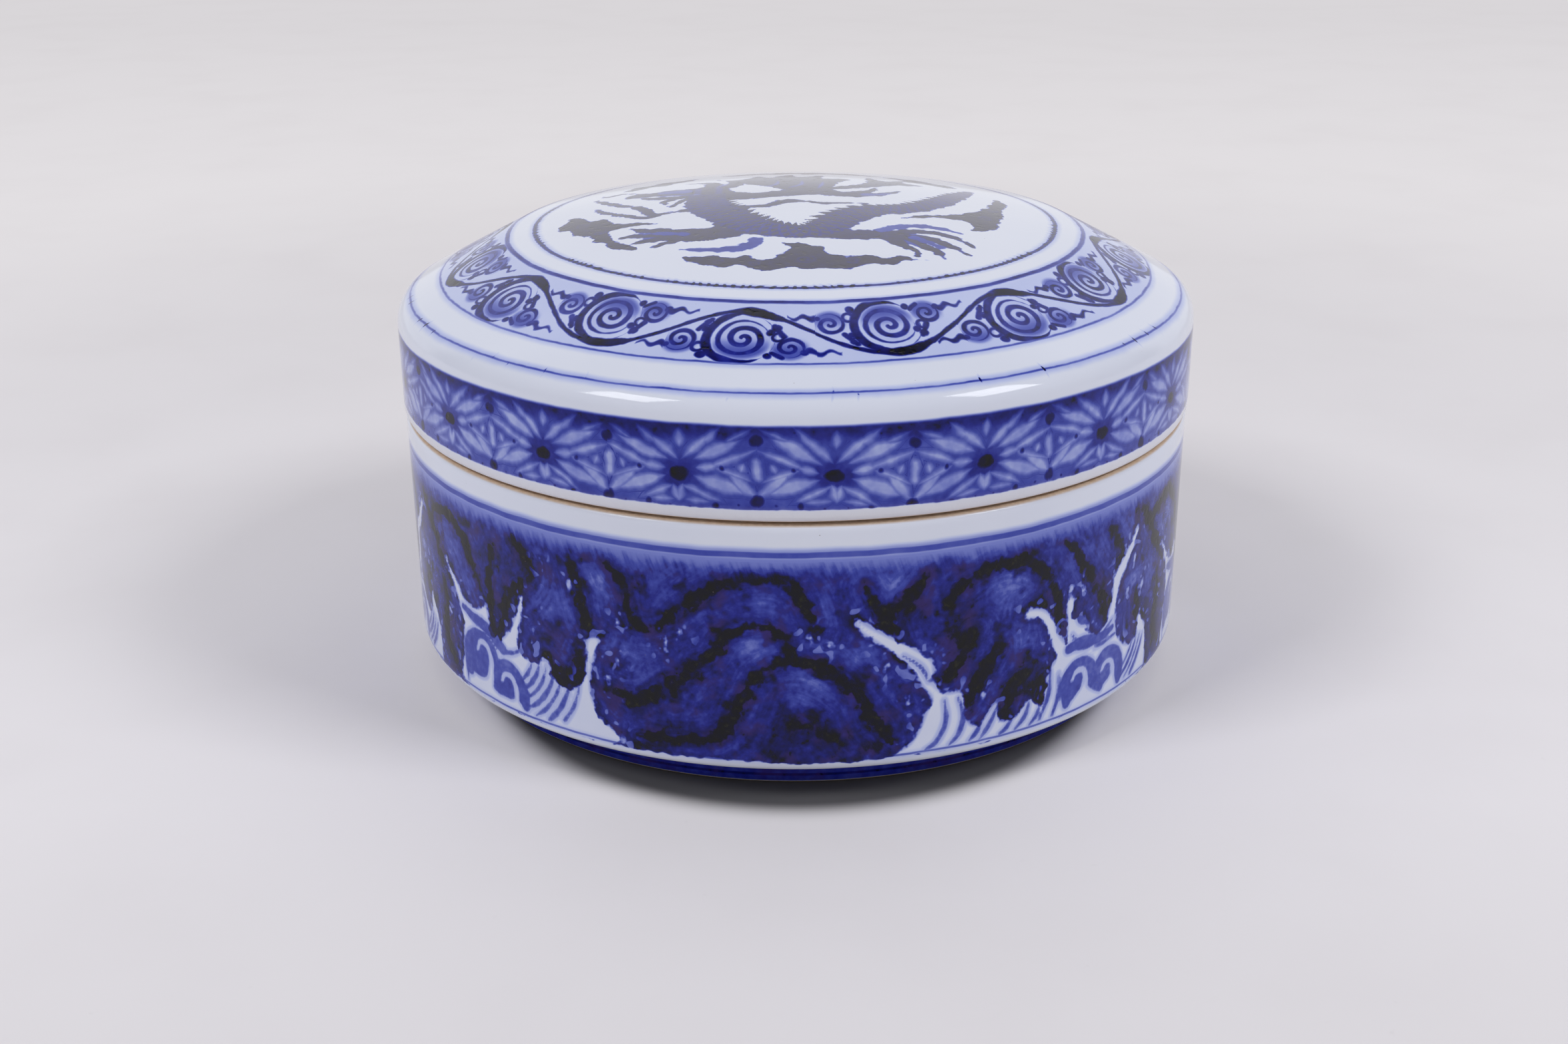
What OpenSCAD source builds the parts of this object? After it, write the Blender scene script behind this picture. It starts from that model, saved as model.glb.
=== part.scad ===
// Round porcelain seal paste box: a base on a foot ring, a domed lid that
// drops over the base's standing rim, and the mound of red paste inside.
// Origin at the middle of the foot, on the table, +Z up.

/* [Box] */
// Outer diameter of the base
box_d = 120; // [112:1:130]
// Height of the seat that the lid comes down on
seat_z = 40.6; // [34:0.2:48]
// Gap between the seat and the lid's lower edge
seat_gap = 0.3; // [0.2:0.05:0.5]
// How far the lid stands proud of the base all round
lid_proud = 0.2; // [0:0.1:0.6]

/* [Lid] */
// Height of the lid's upright side, from the seat to the rounded rim
side_h = 13.5; // [11:0.5:18]
// Thickness of the lid's upright side
side_wall = 3.6; // [3:0.1:4.4]
// Radius of the rounded rim
rim_round = 4; // [3:0.5:6]
// Slope of the painted shoulder, in degrees
shoulder_slope = 27.5; // [20:0.5:32]
// Diameter of the domed panel on top
panel_d = 86.6; // [70:0.2:92]
// Rise of the domed panel at its middle
panel_rise = 4.4; // [2:0.2:8]
// Thickness of the lid's top
top_wall = 4; // [3:0.1:5]
// Radius of the corner inside the lid
inner_round = 4; // [2:0.5:6]
// Radius of the lid's lower outer edge
lip_round = 1; // [0.4:0.1:1.4]

/* [Base] */
// Thickness of the base's upright wall
base_wall = 5.8; // [5.2:0.1:6.5]
// Height of the standing rim above the seat
rim_h = 5.6; // [4:0.2:8]
// Radial gap between the standing rim and the lid
rim_gap = 0.4; // [0.3:0.05:0.6]
// Radius of the rounded outer edge of the seat
seat_round = 0.8; // [0.3:0.1:1.2]
// Radius of the turn where the wall goes under
turn_round = 2.4; // [1.5:0.1:4]
// Slope of the underside between the turn and the foot, in degrees
under_slope = 16; // [8:1:24]
// Thickness of the floor
floor_t = 5; // [4:0.5:7]
// Radius of the corner between floor and wall inside
well_round = 10; // [6:0.5:13]

/* [Foot ring] */
// Outer diameter of the foot ring
foot_d = 108.4; // [98:0.2:110]
// Height of the foot ring's outer face
foot_h = 3.4; // [2:0.2:5]
// Width of the foot ring
foot_w = 4.6; // [3:0.2:7]
// Depth of the hollow inside the foot ring
foot_recess = 3; // [2:0.2:3.8]
// Lean of the foot ring's inner face
foot_lean = 1; // [0.5:0.1:2]
// Radius of the foot ring's edges
foot_round = 0.8; // [0.3:0.1:1.2]

/* [Seal paste] */
// Diameter of the mound of paste
paste_d = 92; // [70:1:96]
// Radius of the mound's bulging edge
paste_edge = 9; // [6:0.5:11]
// Slope of the crown where it meets the edge, in degrees
paste_slope = 28; // [15:1:32]

/* [Hidden] */
$fn = 96;

// Facets in a quarter turn of a small round, and rings in a shallow dome
round_steps = 8;
dome_steps = 14;

base_r = box_d / 2;
lid_r = base_r + lid_proud;
skirt_r = lid_r - side_wall;
rim_out_r = skirt_r - rim_gap;
well_r = base_r - base_wall;
rim_t = rim_out_r - well_r;
rim_round_r = rim_t / 2 - 0.1;
seat_fillet = 0.5;
rim_top_z = seat_z + rim_h;
foot_r = foot_d / 2;
foot_in_r = foot_r - foot_w;
floor_z = foot_recess + floor_t;
well_corner = min(well_round, rim_top_z - floor_z - rim_round_r);

// Middle of the turn under the wall, so that the underside runs down to the foot
turn_r = base_r - turn_round;
turn_z = foot_h + turn_round / cos(under_slope) + (turn_r - foot_r) * tan(under_slope);

// Middle of the lid's rounded rim, and the shoulder line above it
lid_z = seat_z + seat_gap;
rim_r = lid_r - rim_round;
rim_z = seat_z + side_h;
function shoulder_z(r) = rim_z + rim_round / cos(shoulder_slope) - (r - rim_r) * tan(shoulder_slope);

// The domed panel is a cap of a large sphere that ends on the shoulder line
panel_r = panel_d / 2;
dome_r = (panel_r * panel_r + panel_rise * panel_rise) / (2 * panel_rise);
dome_z = shoulder_z(panel_r) + panel_rise - dome_r;

// Inside, the same dome and shoulder lie one wall further in
dome_in_r = dome_r - top_wall;
bend_in = (asin(panel_r / dome_r) + shoulder_slope) / 2;
panel_in_r = panel_r - top_wall * sin(bend_in);
corner_r = skirt_r - inner_round;
corner_z = shoulder_z(corner_r) - (top_wall + inner_round) / cos(shoulder_slope);

// The mound's crown runs on from its edge without a corner
paste_r = paste_d / 2;
edge_r = paste_r - paste_edge;
edge_z = floor_z + paste_edge;
crown_foot_r = edge_r + paste_edge * sin(paste_slope);
crown_r = crown_foot_r / sin(paste_slope);
crown_z = edge_z + paste_edge * cos(paste_slope) - crown_r * cos(paste_slope);

// Points of an arc about [r, z], from one angle to another
function arc(r, z, radius, from, to, steps = round_steps) =
    [for (i = [0 : steps]) let (a = from + (to - from) * i / steps) [r + radius * cos(a), z + radius * sin(a)]];

// Points of a shallow dome from the axis out to a radius
function dome(centre_z, radius, reach, steps = dome_steps) =
    [for (i = [0 : steps]) let (r = reach * i / steps) [r, centre_z + sqrt(radius * radius - r * r)]];

function reversed(points) = [for (i = [len(points) - 1 : -1 : 0]) points[i]];

// Outside of the base from the foot hollow up over the standing rim, then the well down to the floor
base_profile = concat(
    [[0, foot_recess], [foot_in_r - foot_lean, foot_recess]],
    arc(foot_in_r + foot_round, foot_round, foot_round, 180, 270),
    arc(foot_r - foot_round, foot_round, foot_round, -90, 0),
    [[foot_r, foot_h]],
    arc(turn_r, turn_z, turn_round, under_slope - 90, 0),
    arc(base_r - seat_round, seat_z - seat_round, seat_round, 0, 90),
    arc(rim_out_r + seat_fillet, seat_z + seat_fillet, seat_fillet, 270, 180),
    arc(rim_out_r - rim_round_r, rim_top_z - rim_round_r, rim_round_r, 0, 90),
    arc(well_r + rim_round_r, rim_top_z - rim_round_r, rim_round_r, 90, 180),
    arc(well_r - well_corner, floor_z + well_corner, well_corner, 0, -90),
    [[0, floor_z]]
);

// Outside of the lid from the middle of the dome down to the lip, then up its inside
lid_profile = concat(
    dome(dome_z, dome_r, panel_r),
    reversed(arc(rim_r, rim_z, rim_round, 0, 90 - shoulder_slope)),
    arc(lid_r - lip_round, lid_z + lip_round, lip_round, 0, -90),
    arc(skirt_r + lip_round / 2, lid_z + lip_round / 2, lip_round / 2, 270, 180),
    arc(corner_r, corner_z, inner_round, 0, 90 - shoulder_slope),
    reversed(dome(dome_z, dome_in_r, panel_in_r))
);

paste_profile = concat(
    [[0, floor_z]],
    arc(edge_r, edge_z, paste_edge, -90, 90 - paste_slope, 2 * round_steps),
    reversed([for (p = dome(crown_z, crown_r, crown_foot_r)) if (p[0] < crown_foot_r) p])
);

module base() {
    color("#cdd0dc") rotate_extrude() polygon(base_profile);
}

module lid() {
    color("#d8dae4") rotate_extrude() polygon(lid_profile);
}

module seal_paste() {
    color("#b3251c") rotate_extrude() polygon(paste_profile);
}

base();
lid();
seal_paste();
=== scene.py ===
import bpy, bmesh, math
import numpy as np
from mathutils import Matrix, Vector, noise


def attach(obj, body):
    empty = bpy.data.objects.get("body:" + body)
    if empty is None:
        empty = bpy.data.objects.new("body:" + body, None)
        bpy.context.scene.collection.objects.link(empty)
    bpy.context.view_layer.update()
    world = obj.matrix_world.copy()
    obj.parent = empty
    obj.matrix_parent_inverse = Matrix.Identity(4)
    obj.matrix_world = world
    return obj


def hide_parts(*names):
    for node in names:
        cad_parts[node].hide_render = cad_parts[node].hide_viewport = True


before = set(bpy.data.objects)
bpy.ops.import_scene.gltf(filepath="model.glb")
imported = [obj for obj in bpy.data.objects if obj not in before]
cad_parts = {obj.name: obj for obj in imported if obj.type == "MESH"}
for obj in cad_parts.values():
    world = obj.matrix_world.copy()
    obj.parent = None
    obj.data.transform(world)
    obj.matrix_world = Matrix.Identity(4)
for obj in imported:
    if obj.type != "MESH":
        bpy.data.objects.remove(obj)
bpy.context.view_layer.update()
mm = 0.001

# The pot's own sizes in millimetres, as thrown. Heights are above the table.
pot = {
    "baseRadius": 60, "seatHeight": 40.6, "seatGap": 0.3, "lidProud": 0.2,
    "sideHeight": 13.5, "sideWall": 3.6, "rimRound": 4, "shoulderSlope": 27.5,
    "panelRadius": 43.3, "panelRise": 4.4, "topWall": 4, "innerRound": 4, "lipRound": 1,
    "baseWall": 5.8, "standingRim": 5.6, "rimGap": 0.4, "seatRound": 0.8, "seatFillet": 0.5,
    "turnRound": 2.4,
    "underSlope": 16, "floorThickness": 5, "wellRound": 10,
    "footRadius": 54.2, "footHeight": 3.4, "footWidth": 4.6, "footRecess": 3, "footLean": 1,
    "footRound": 0.8,
    "pasteRadius": 46, "pasteEdge": 9, "pasteSlope": 28,
}


# Outlines: points of radius and height, from which the shells are turned

def arc(radius, height, size, start, end, steps=8):
    angles = [math.radians(start + (end - start) * i / steps) for i in range(steps + 1)]
    return [(radius + size * math.cos(a), height + size * math.sin(a)) for a in angles]


def straight(start, end, steps):
    return [tuple(start[k] + (end[k] - start[k]) * i / steps for k in (0, 1)) for i in range(steps + 1)]


def dome(centre, size, reach, steps):
    radii = [reach * i / steps for i in range(steps + 1)]
    return [(r, centre + math.sqrt(size ** 2 - r ** 2)) for r in radii]


def lidShape():
    p = dict(pot)
    slope = math.radians(p["shoulderSlope"])
    p["lidRadius"] = p["baseRadius"] + p["lidProud"]
    p["skirtRadius"] = p["lidRadius"] - p["sideWall"]
    p["lipHeight"] = p["seatHeight"] + p["seatGap"]
    p["rimRadius"] = p["lidRadius"] - p["rimRound"]
    p["rimHeight"] = p["seatHeight"] + p["sideHeight"]

    def shoulder(r):
        return p["rimHeight"] + p["rimRound"] / math.cos(slope) - (r - p["rimRadius"]) * math.tan(slope)

    p["domeSize"] = (p["panelRadius"] ** 2 + p["panelRise"] ** 2) / (2 * p["panelRise"])
    p["domeCentre"] = shoulder(p["panelRadius"]) + p["panelRise"] - p["domeSize"]
    bend = (math.asin(p["panelRadius"] / p["domeSize"]) + slope) / 2
    p["innerPanel"] = p["panelRadius"] - p["topWall"] * math.sin(bend)
    p["cornerRadius"] = p["skirtRadius"] - p["innerRound"]
    p["cornerHeight"] = shoulder(p["cornerRadius"]) - (p["topWall"] + p["innerRound"]) / math.cos(slope)
    return p


def baseShape():
    p = dict(pot)
    slope = math.radians(p["underSlope"])
    p["rimOuter"] = p["baseRadius"] + p["lidProud"] - p["sideWall"] - p["rimGap"]
    p["wellRadius"] = p["baseRadius"] - p["baseWall"]
    p["rimTop"] = p["seatHeight"] + p["standingRim"]
    p["rimRound"] = (p["rimOuter"] - p["wellRadius"]) / 2 - 0.1
    p["floorHeight"] = p["footRecess"] + p["floorThickness"]
    p["turnRadius"] = p["baseRadius"] - p["turnRound"]
    drop = (p["turnRadius"] - p["footRadius"]) * math.tan(slope)
    p["turnHeight"] = p["footHeight"] + p["turnRound"] / math.cos(slope) + drop
    return p


lid = lidShape()
base = baseShape()
print("shapes worked out, lid top at", round(lid["domeCentre"] + lid["domeSize"], 2), "mm")


# Turning: an outline of edges is spun through a wedge, and the wedge is doubled until it closes

def thingOf(bm, name):
    mesh = bpy.data.meshes.new(name)
    bm.to_mesh(mesh)
    bm.free()
    thing = bpy.data.objects.new(name, mesh)
    bpy.context.scene.collection.objects.link(thing)
    return thing


def turned(name, outline, segments):
    wedges = meshing["wedges"]
    bm = bmesh.new()
    points = [bm.verts.new((r * mm, 0, z * mm)) for r, z in outline]
    edges = [bm.edges.new(pair) for pair in zip(points, points[1:])]
    angle = 2 * math.pi / wedges
    bmesh.ops.spin(bm, geom=points + edges, cent=(0, 0, 0), axis=(0, 0, 1), angle=angle,
                   steps=segments // wedges, use_merge=False, use_duplicate=False)
    while angle < 2 * math.pi - 0.01:
        copy = bmesh.ops.duplicate(bm, geom=bm.verts[:] + bm.edges[:] + bm.faces[:])["geom"]
        corners = [g for g in copy if isinstance(g, bmesh.types.BMVert)]
        bmesh.ops.rotate(bm, verts=corners, cent=(0, 0, 0), matrix=Matrix.Rotation(angle, 3, "Z"))
        bmesh.ops.remove_doubles(bm, verts=bm.verts, dist=1e-6)
        angle *= 2
    bmesh.ops.recalc_face_normals(bm, faces=bm.faces)
    for face in bm.faces:
        face.smooth = True
    return thingOf(bm, name)


def placesOf(thing):
    flat = np.zeros(len(thing.data.vertices) * 3)
    thing.data.vertices.foreach_get("co", flat)
    return flat.reshape(-1, 3) / mm


def keepValues(thing, name, values):
    layer = thing.data.attributes.new(name, "FLOAT", "POINT")
    layer.data.foreach_set("value", np.asarray(values, np.float32))


# How finely each shell is cut. The painted panel and wall have close rings, so that brush marks stay sharp.
meshing = {
    "wedges": 32,  # a power of 2 that every number of segments can be divided by
    "lidSegments": 640, "panelRings": 122, "panelReach": 39.8, "edgeRings": 40, "edgeKept": 4,
    "rimFacets": 7, "lipFacets": 5, "innerRings": 5, "cornerFacets": 4, "smallFacets": 2,
    "baseSegments": 800, "wallRings": 82, "turnFacets": 7, "footFacets": 3, "footRing": 2, "wellFacets": 5,
    "pasteSegments": 512, "pasteFacets": 16, "crownRings": 60,
}


def makeLid():
    p = lid
    m = meshing
    lean = 90 - p["shoulderSlope"]
    panel = dome(p["domeCentre"], p["domeSize"], m["panelReach"], m["panelRings"])
    edge = dome(p["domeCentre"], p["domeSize"], p["panelRadius"], m["edgeRings"])[-m["edgeKept"]:]
    rim = arc(p["rimRadius"], p["rimHeight"], p["rimRound"], 0, lean, m["rimFacets"])[::-1]
    size = p["lipRound"]
    lip = arc(p["lidRadius"] - size, p["lipHeight"] + size, size, 0, -90, m["lipFacets"])
    half = size / 2
    inLip = arc(p["skirtRadius"] + half, p["lipHeight"] + half, half, 270, 180, m["smallFacets"])
    corner = arc(p["cornerRadius"], p["cornerHeight"], p["innerRound"], 0, lean, m["cornerFacets"])
    inside = dome(p["domeCentre"], p["domeSize"] - p["topWall"], p["innerPanel"], m["innerRings"])[::-1]
    shell = turned("lidShell", panel + edge + rim + lip + inLip + corner + inside, m["lidSegments"])
    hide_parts("lid")
    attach(shell, "lid")
    return shell


def makeBase():
    p = base
    m = meshing
    inFoot = p["footRadius"] - p["footWidth"]
    under = [(r, p["footRecess"]) for r in (0, inFoot * 0.5, inFoot - p["footLean"])]
    size = p["footRound"]
    foot = arc(inFoot + size, size, size, 180, 270, m["footFacets"])
    foot += arc(p["footRadius"] - size, size, size, -90, 0, m["footFacets"])
    foot += [(p["footRadius"], m["footRing"]), (p["footRadius"], p["footHeight"])]
    turn = arc(p["turnRadius"], p["turnHeight"], p["turnRound"], p["underSlope"] - 90, 0, m["turnFacets"])
    size = p["seatRound"]
    seat = arc(p["baseRadius"] - size, p["seatHeight"] - size, size, 0, 90, m["cornerFacets"])
    wall = straight(turn[-1], seat[0], m["wallRings"])[1:-1]
    size = p["seatFillet"]
    rim = arc(p["rimOuter"] + size, p["seatHeight"] + size, size, 270, 180, m["smallFacets"])
    size = p["rimRound"]
    rim += arc(p["rimOuter"] - size, p["rimTop"] - size, size, 0, 90, m["footFacets"])
    rim += arc(p["wellRadius"] + size, p["rimTop"] - size, size, 90, 180, m["footFacets"])
    size = p["wellRound"]
    well = arc(p["wellRadius"] - size, p["floorHeight"] + size, size, 0, -90, m["wellFacets"])
    outline = under + foot + turn + wall + seat + rim + well + [(0, p["floorHeight"])]
    shell = turned("baseShell", outline, m["baseSegments"])
    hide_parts("base")
    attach(shell, "base")
    return shell


lidShell = makeLid()
baseShell = makeBase()
print("lid and base turned,", len(lidShell.data.polygons), "and", len(baseShell.data.polygons), "faces")

# Brushwork. Each stroke is a few points of (across, up, half its width) in millimetres, drawn as one
# smooth line. What is kept on a mesh is how far each point lies outside the strokes, so edges stay sharp.
# Distances past "far" look alike to the shader.
brush = {"far": 3.0, "wayOff": 9.0, "contourReach": 8.0}


def smoothLine(points, steps=7, closed=False):
    pts = np.asarray(points, float)
    count = len(pts)
    if closed:
        pts = np.concatenate([pts[-1:], pts, pts[:2]])
    else:
        pts = np.concatenate([2 * pts[:1] - pts[1:2], pts, 2 * pts[-1:] - pts[-2:-1]])
        count -= 1
    t = (np.arange(steps) / steps)[:, None]
    runs = []
    for a, b, c, d in zip(pts[:count], pts[1:], pts[2:], pts[3:]):
        runs.append(0.5 * (2 * b + (c - a) * t + (2 * a - 5 * b + 4 * c - d) * t ** 2
                           + (3 * b - a - 3 * c + d) * t ** 3))
    return np.concatenate(runs + [pts[count + 1:count + 2]])


class Cloth:
    # The flat sheet that a zone of the pot unrolls to: a place for each point of the mesh
    def __init__(self, across, up, lap=None):
        self.across = across
        self.up = up
        self.lap = lap  # the width after which the pattern comes round again

    def near(self, line, reach):
        middle = (line[:, 0].min() + line[:, 0].max()) / 2
        x = self.across
        if self.lap:
            x = (x - middle + self.lap / 2) % self.lap - self.lap / 2 + middle
        low, high = line[:, :2].min(0) - reach, line[:, :2].max(0) + reach
        inside = (x > low[0]) & (x < high[0]) & (self.up > low[1]) & (self.up < high[1])
        return np.nonzero(inside)[0], x[inside], self.up[inside]

    def stroke(self, gaps, points, reach=brush["far"], smooth=True):
        line = smoothLine(points) if smooth and len(points) > 2 else np.asarray(points, float)
        at, x, y = self.near(line, reach)
        best = gaps[at]
        for (ax, ay, aw), (bx, by, bw) in zip(line, line[1:]):
            dx, dy = bx - ax, by - ay
            t = np.clip(((x - ax) * dx + (y - ay) * dy) / (dx * dx + dy * dy + 1e-9), 0, 1)
            best = np.minimum(best, np.hypot(x - ax - t * dx, y - ay - t * dy) - (aw + t * (bw - aw)))
        gaps[at] = best

    def area(self, gaps, points, reach=brush["far"]):
        line = smoothLine(points, 4, closed=True)
        at, x, y = self.near(line, reach)
        edge = np.full(len(x), brush["wayOff"])
        inside = np.zeros(len(x), bool)
        for (ax, ay), (bx, by) in zip(line, np.roll(line, -1, 0)):
            dx, dy = bx - ax, by - ay
            t = np.clip(((x - ax) * dx + (y - ay) * dy) / (dx * dx + dy * dy + 1e-9), 0, 1)
            edge = np.minimum(edge, np.hypot(x - ax - t * dx, y - ay - t * dy))
            if abs(dy) > 1e-9:
                inside ^= ((ay > y) != (by > y)) & (x < ax + (y - ay) * dx / dy)
        gaps[at] = np.minimum(gaps[at], np.where(inside, -edge, edge))

    def blots(self, shades, spots):
        for across, up, size, shade in spots:
            at, x, y = self.near(np.array([[across, up]]), 3 * size)
            weight = np.exp(-((x - across) ** 2 + (y - up) ** 2) / size ** 2)
            shades[at] += weight * shade


def along(line, x, y):
    # How far along a line each point lies, and how far to its left in half widths
    best = np.full(len(x), math.inf)
    run = np.zeros(len(x))
    side = np.full(len(x), brush["wayOff"])
    length = 0.0
    for (ax, ay, aw), (bx, by, bw) in zip(line, line[1:]):
        dx, dy = bx - ax, by - ay
        size = math.hypot(dx, dy)
        t = ((x - ax) * dx + (y - ay) * dy) / size ** 2
        held = np.clip(t, 0, 1)
        gap = np.hypot(x - ax - held * dx, y - ay - held * dy)
        closer = gap < best
        best = np.where(closer, gap, best)
        run = np.where(closer, length + held * size, run)
        side = np.where(closer, (dx * (y - ay) - dy * (x - ax)) / size / (aw + held * (bw - aw)), side)
        length += size
    return run, side, best


# The dragon on the lid. Across is to the right and up is away from the viewer, from the lid's middle.
dragon = {
    "reach": 42, "bodySteps": 10, "fullWidth": 2.4, "netReach": 6, "longestRun": 90,
    "body": [(-13.4, 6, 3), (-13.4, 1, 3.2), (-12.6, -4, 3.5), (-10, -9, 3.6), (-7.8, -13, 3.5),
             (-4.4, -16.6, 3), (0.8, -18.4, 2.6), (4.6, -16.2, 3), (7, -11.6, 3.1), (11, -7, 2.7),
             (16, -4.6, 2.3), (20, -1, 2.1), (23, 4, 1.9), (25.6, 9.6, 1.6), (27.8, 14.8, 0.7)],
    "toothWidth": 1.7, "toothHeight": 1.5,
    "masses": [  # shoulders and mane, drawn as filled shapes
        [(-16, 5), (-12, 1.8), (-9.4, 0.6), (-5.6, 1), (-2, 2), (2, 3), (5.6, 2.6), (8.6, 2), (11.6, 3),
         (15, 6), (11.4, 5.4), (7, 5.6), (6, 8), (2.6, 9), (-0.4, 7.6), (-2.6, 6.6), (-6, 5.2), (-9.4, 7),
         (-12, 9)],
        [(-10.4, 19.4), (-7.6, 20.6), (-6, 24), (-4, 21.8), (-0.6, 26), (0.6, 22), (4.4, 24.4),
         (4.6, 20.4), (9, 19.6), (6.8, 15), (6, 10), (3, 8), (-0.4, 7), (-4, 10.4), (-7, 13.6),
         (-9.4, 15.8)],
        [(5, 7.6), (9, 9.4), (12.6, 11.4), (15.6, 14.6), (20.6, 16.4), (17.2, 18.6), (18.6, 22.4),
         (14.6, 19.6), (11.6, 23), (11.4, 16), (8.4, 12.2), (6, 10.4)],
    ],
    "head": [
        [(-13, 8, 3.2), (-16.6, 9.2, 3.0), (-20.4, 9.8, 2.2), (-24, 9.8, 1.4)],  # brow and snout
        [(-24.2, 11.2, 1.0), (-25.6, 10.6, 0.8), (-25.4, 9.2, 0.5)],  # nose
        [(-14.6, 5.2, 1.8), (-18.6, 5.2, 1.1), (-22, 6.2, 0.8), (-23.4, 7.6, 0.3)],  # lower jaw
        [(-14, 10.6, 1.8), (-12.6, 14.4, 1.5), (-14, 17.6, 0.8), (-17.4, 18.6, 0.15)],  # horns
        [(-12.6, 10, 1.8), (-9.6, 14, 1.5), (-9.8, 18, 0.7), (-12.6, 21, 0.15)],
        [(-24, 11.6, 0.35), (-27, 14.4, 0.4), (-29.6, 13.4, 0.35), (-30.8, 15.4, 0.12)],  # whisker
        [(-18.4, 4.4, 0.9), (-19.8, 2.2, 0.6), (-19.4, -0.6, 0.15)],
        [(-16, 3.8, 0.9), (-17.6, 1, 0.6), (-18.4, -1.6, 0.15)],
    ],
    "legs": [
        [(-7.6, -16, 3.0), (-12, -18.2, 3.0), (-16, -17.8, 2.8), (-19.8, -16.8, 2.2)],
        [(2, -18, 2.8), (8, -19.4, 2.0), (13.4, -18.6, 2.0)],
        [(-31.2, 10.8, 0.4), (-29, 6.6, 0.6), (-26, 2.6, 0.55), (-23, -0.8, 0.8), (-21.2, -5.4, 0.8),
         (-18.8, -5.4, 0.6), (-16, -4.4, 0.6)],
        [(-30.4, 2.8, 0.35), (-28.2, -1.2, 0.6), (-25, -4.6, 0.7), (-22.2, -7, 0.6), (-20.4, -6.4, 0.6)],
        [(-9, -3.6, 0.2), (-5.8, -4.6, 0.5), (-4, -4.2, 0.8), (-1.8, -1.8, 1), (0, -1.2, 0.9),
         (2, -1.8, 0.6), (4.2, -2.6, 0.5), (10.8, -2.2, 0.15)],
    ],
    "claws": [
        [(10, 4.6, 1.3), (13.4, 5.4, 0.8), (16.4, 8.6, 0.15)],
        [(9, 5, 1.3), (12, 8, 0.7), (12.6, 11.4, 0.15)],
        [(-19, -15.6, 1.5), (-21.6, -14.2, 1.0), (-23.8, -12.4, 0.25)],
        [(-19.4, -16.8, 1.5), (-22.4, -16.2, 0.9), (-25, -16.6, 0.2)],
        [(-18.6, -17.6, 1.6), (-20.8, -19, 1.0), (-23.4, -19.8, 0.2)],
        [(-16, -18.6, 1.6), (-17.6, -20.6, 0.9), (-20.2, -22, 0.2)],
        [(13.4, -18.6, 1.7), (16.6, -16.8, 1.1), (20, -16.4, 0.9), (23.2, -18.4, 0.6),
         (25.2, -21.4, 0.15)],
        [(14, -18.8, 1.8), (18, -19.2, 1.3), (21.4, -21.4, 0.9), (24.2, -24.6, 0.25)],
        [(14, -19.2, 1.8), (17.2, -21.8, 1.3), (19.6, -24.6, 0.9), (20.8, -27, 0.2)],
        [(13.4, -19.4, 1.7), (14.6, -22.2, 1.1), (16.8, -24.8, 0.7), (16.8, -26.8, 0.15)],
    ],
    "paleStrokes": [  # laid on with a thin wash
        [(12.4, -17, 0.8), (14.8, -14.8, 1.0), (17.6, -13.8, 0.9), (20.6, -14, 0.8), (24, -15.6, 0.15)],
        [(-5.4, -21.4, 1.0), (-6.4, -24, 1.2), (-10, -25.2, 1.0), (-16, -24, 0.2)],
        [(-17, 10, 1.4), (-20, 10.6, 1.2)], [(11, 4.2, 0.9), (14.8, 6, 0.3)],
        [(17, -19.4, 0.8), (20.4, -22.6, 0.7)],
        [(-15.6, -17.6, 0.8), (-19, -16.4, 0.7), (-22, -15.4, 0.5)],
    ],
    "left": [  # pale lines and gaps in the ink
        [(-14, 5.9, 0.1), (-17.4, 6.9, 0.3), (-21.4, 7.8, 0.35), (-23.8, 8.2, 0.2)],
        [(-18.2, 10.2, 0.25), (-17.2, 10.6, 0.4), (-16.2, 10.1, 0.2)],
        [(16.6, -19.8, 0.2), (19, -20.8, 0.55), (20.4, -22.6, 0.2)],
        [(15.4, -20.6, 0.15), (16.6, -22.6, 0.5), (17.6, -24.4, 0.2)],
        [(16.4, -18, 0.15), (19.6, -17.8, 0.5), (22.2, -19.6, 0.2)],
        [(-20, -15.9, 0.1), (-22.4, -15.2, 0.35), (-24, -14.6, 0.1)],
        [(-19.4, -17.9, 0.1), (-21.6, -17.9, 0.4), (-23.6, -18.2, 0.1)],
        [(-12.4, 11.4, 0.1), (-11, 14.6, 0.5), (-11.4, 18, 0.2)],
        [(-5.4, 9.6, 0.2), (-3, 12.6, 0.35), (-2.6, 17, 0.1)],
        [(-1, 9, 0.1), (1, 12.6, 0.35), (1.2, 17, 0.1)],
        [(3.6, 8.6, 0.1), (4.2, 12, 0.35), (4.6, 16, 0.1)],
    ],
}

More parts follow.
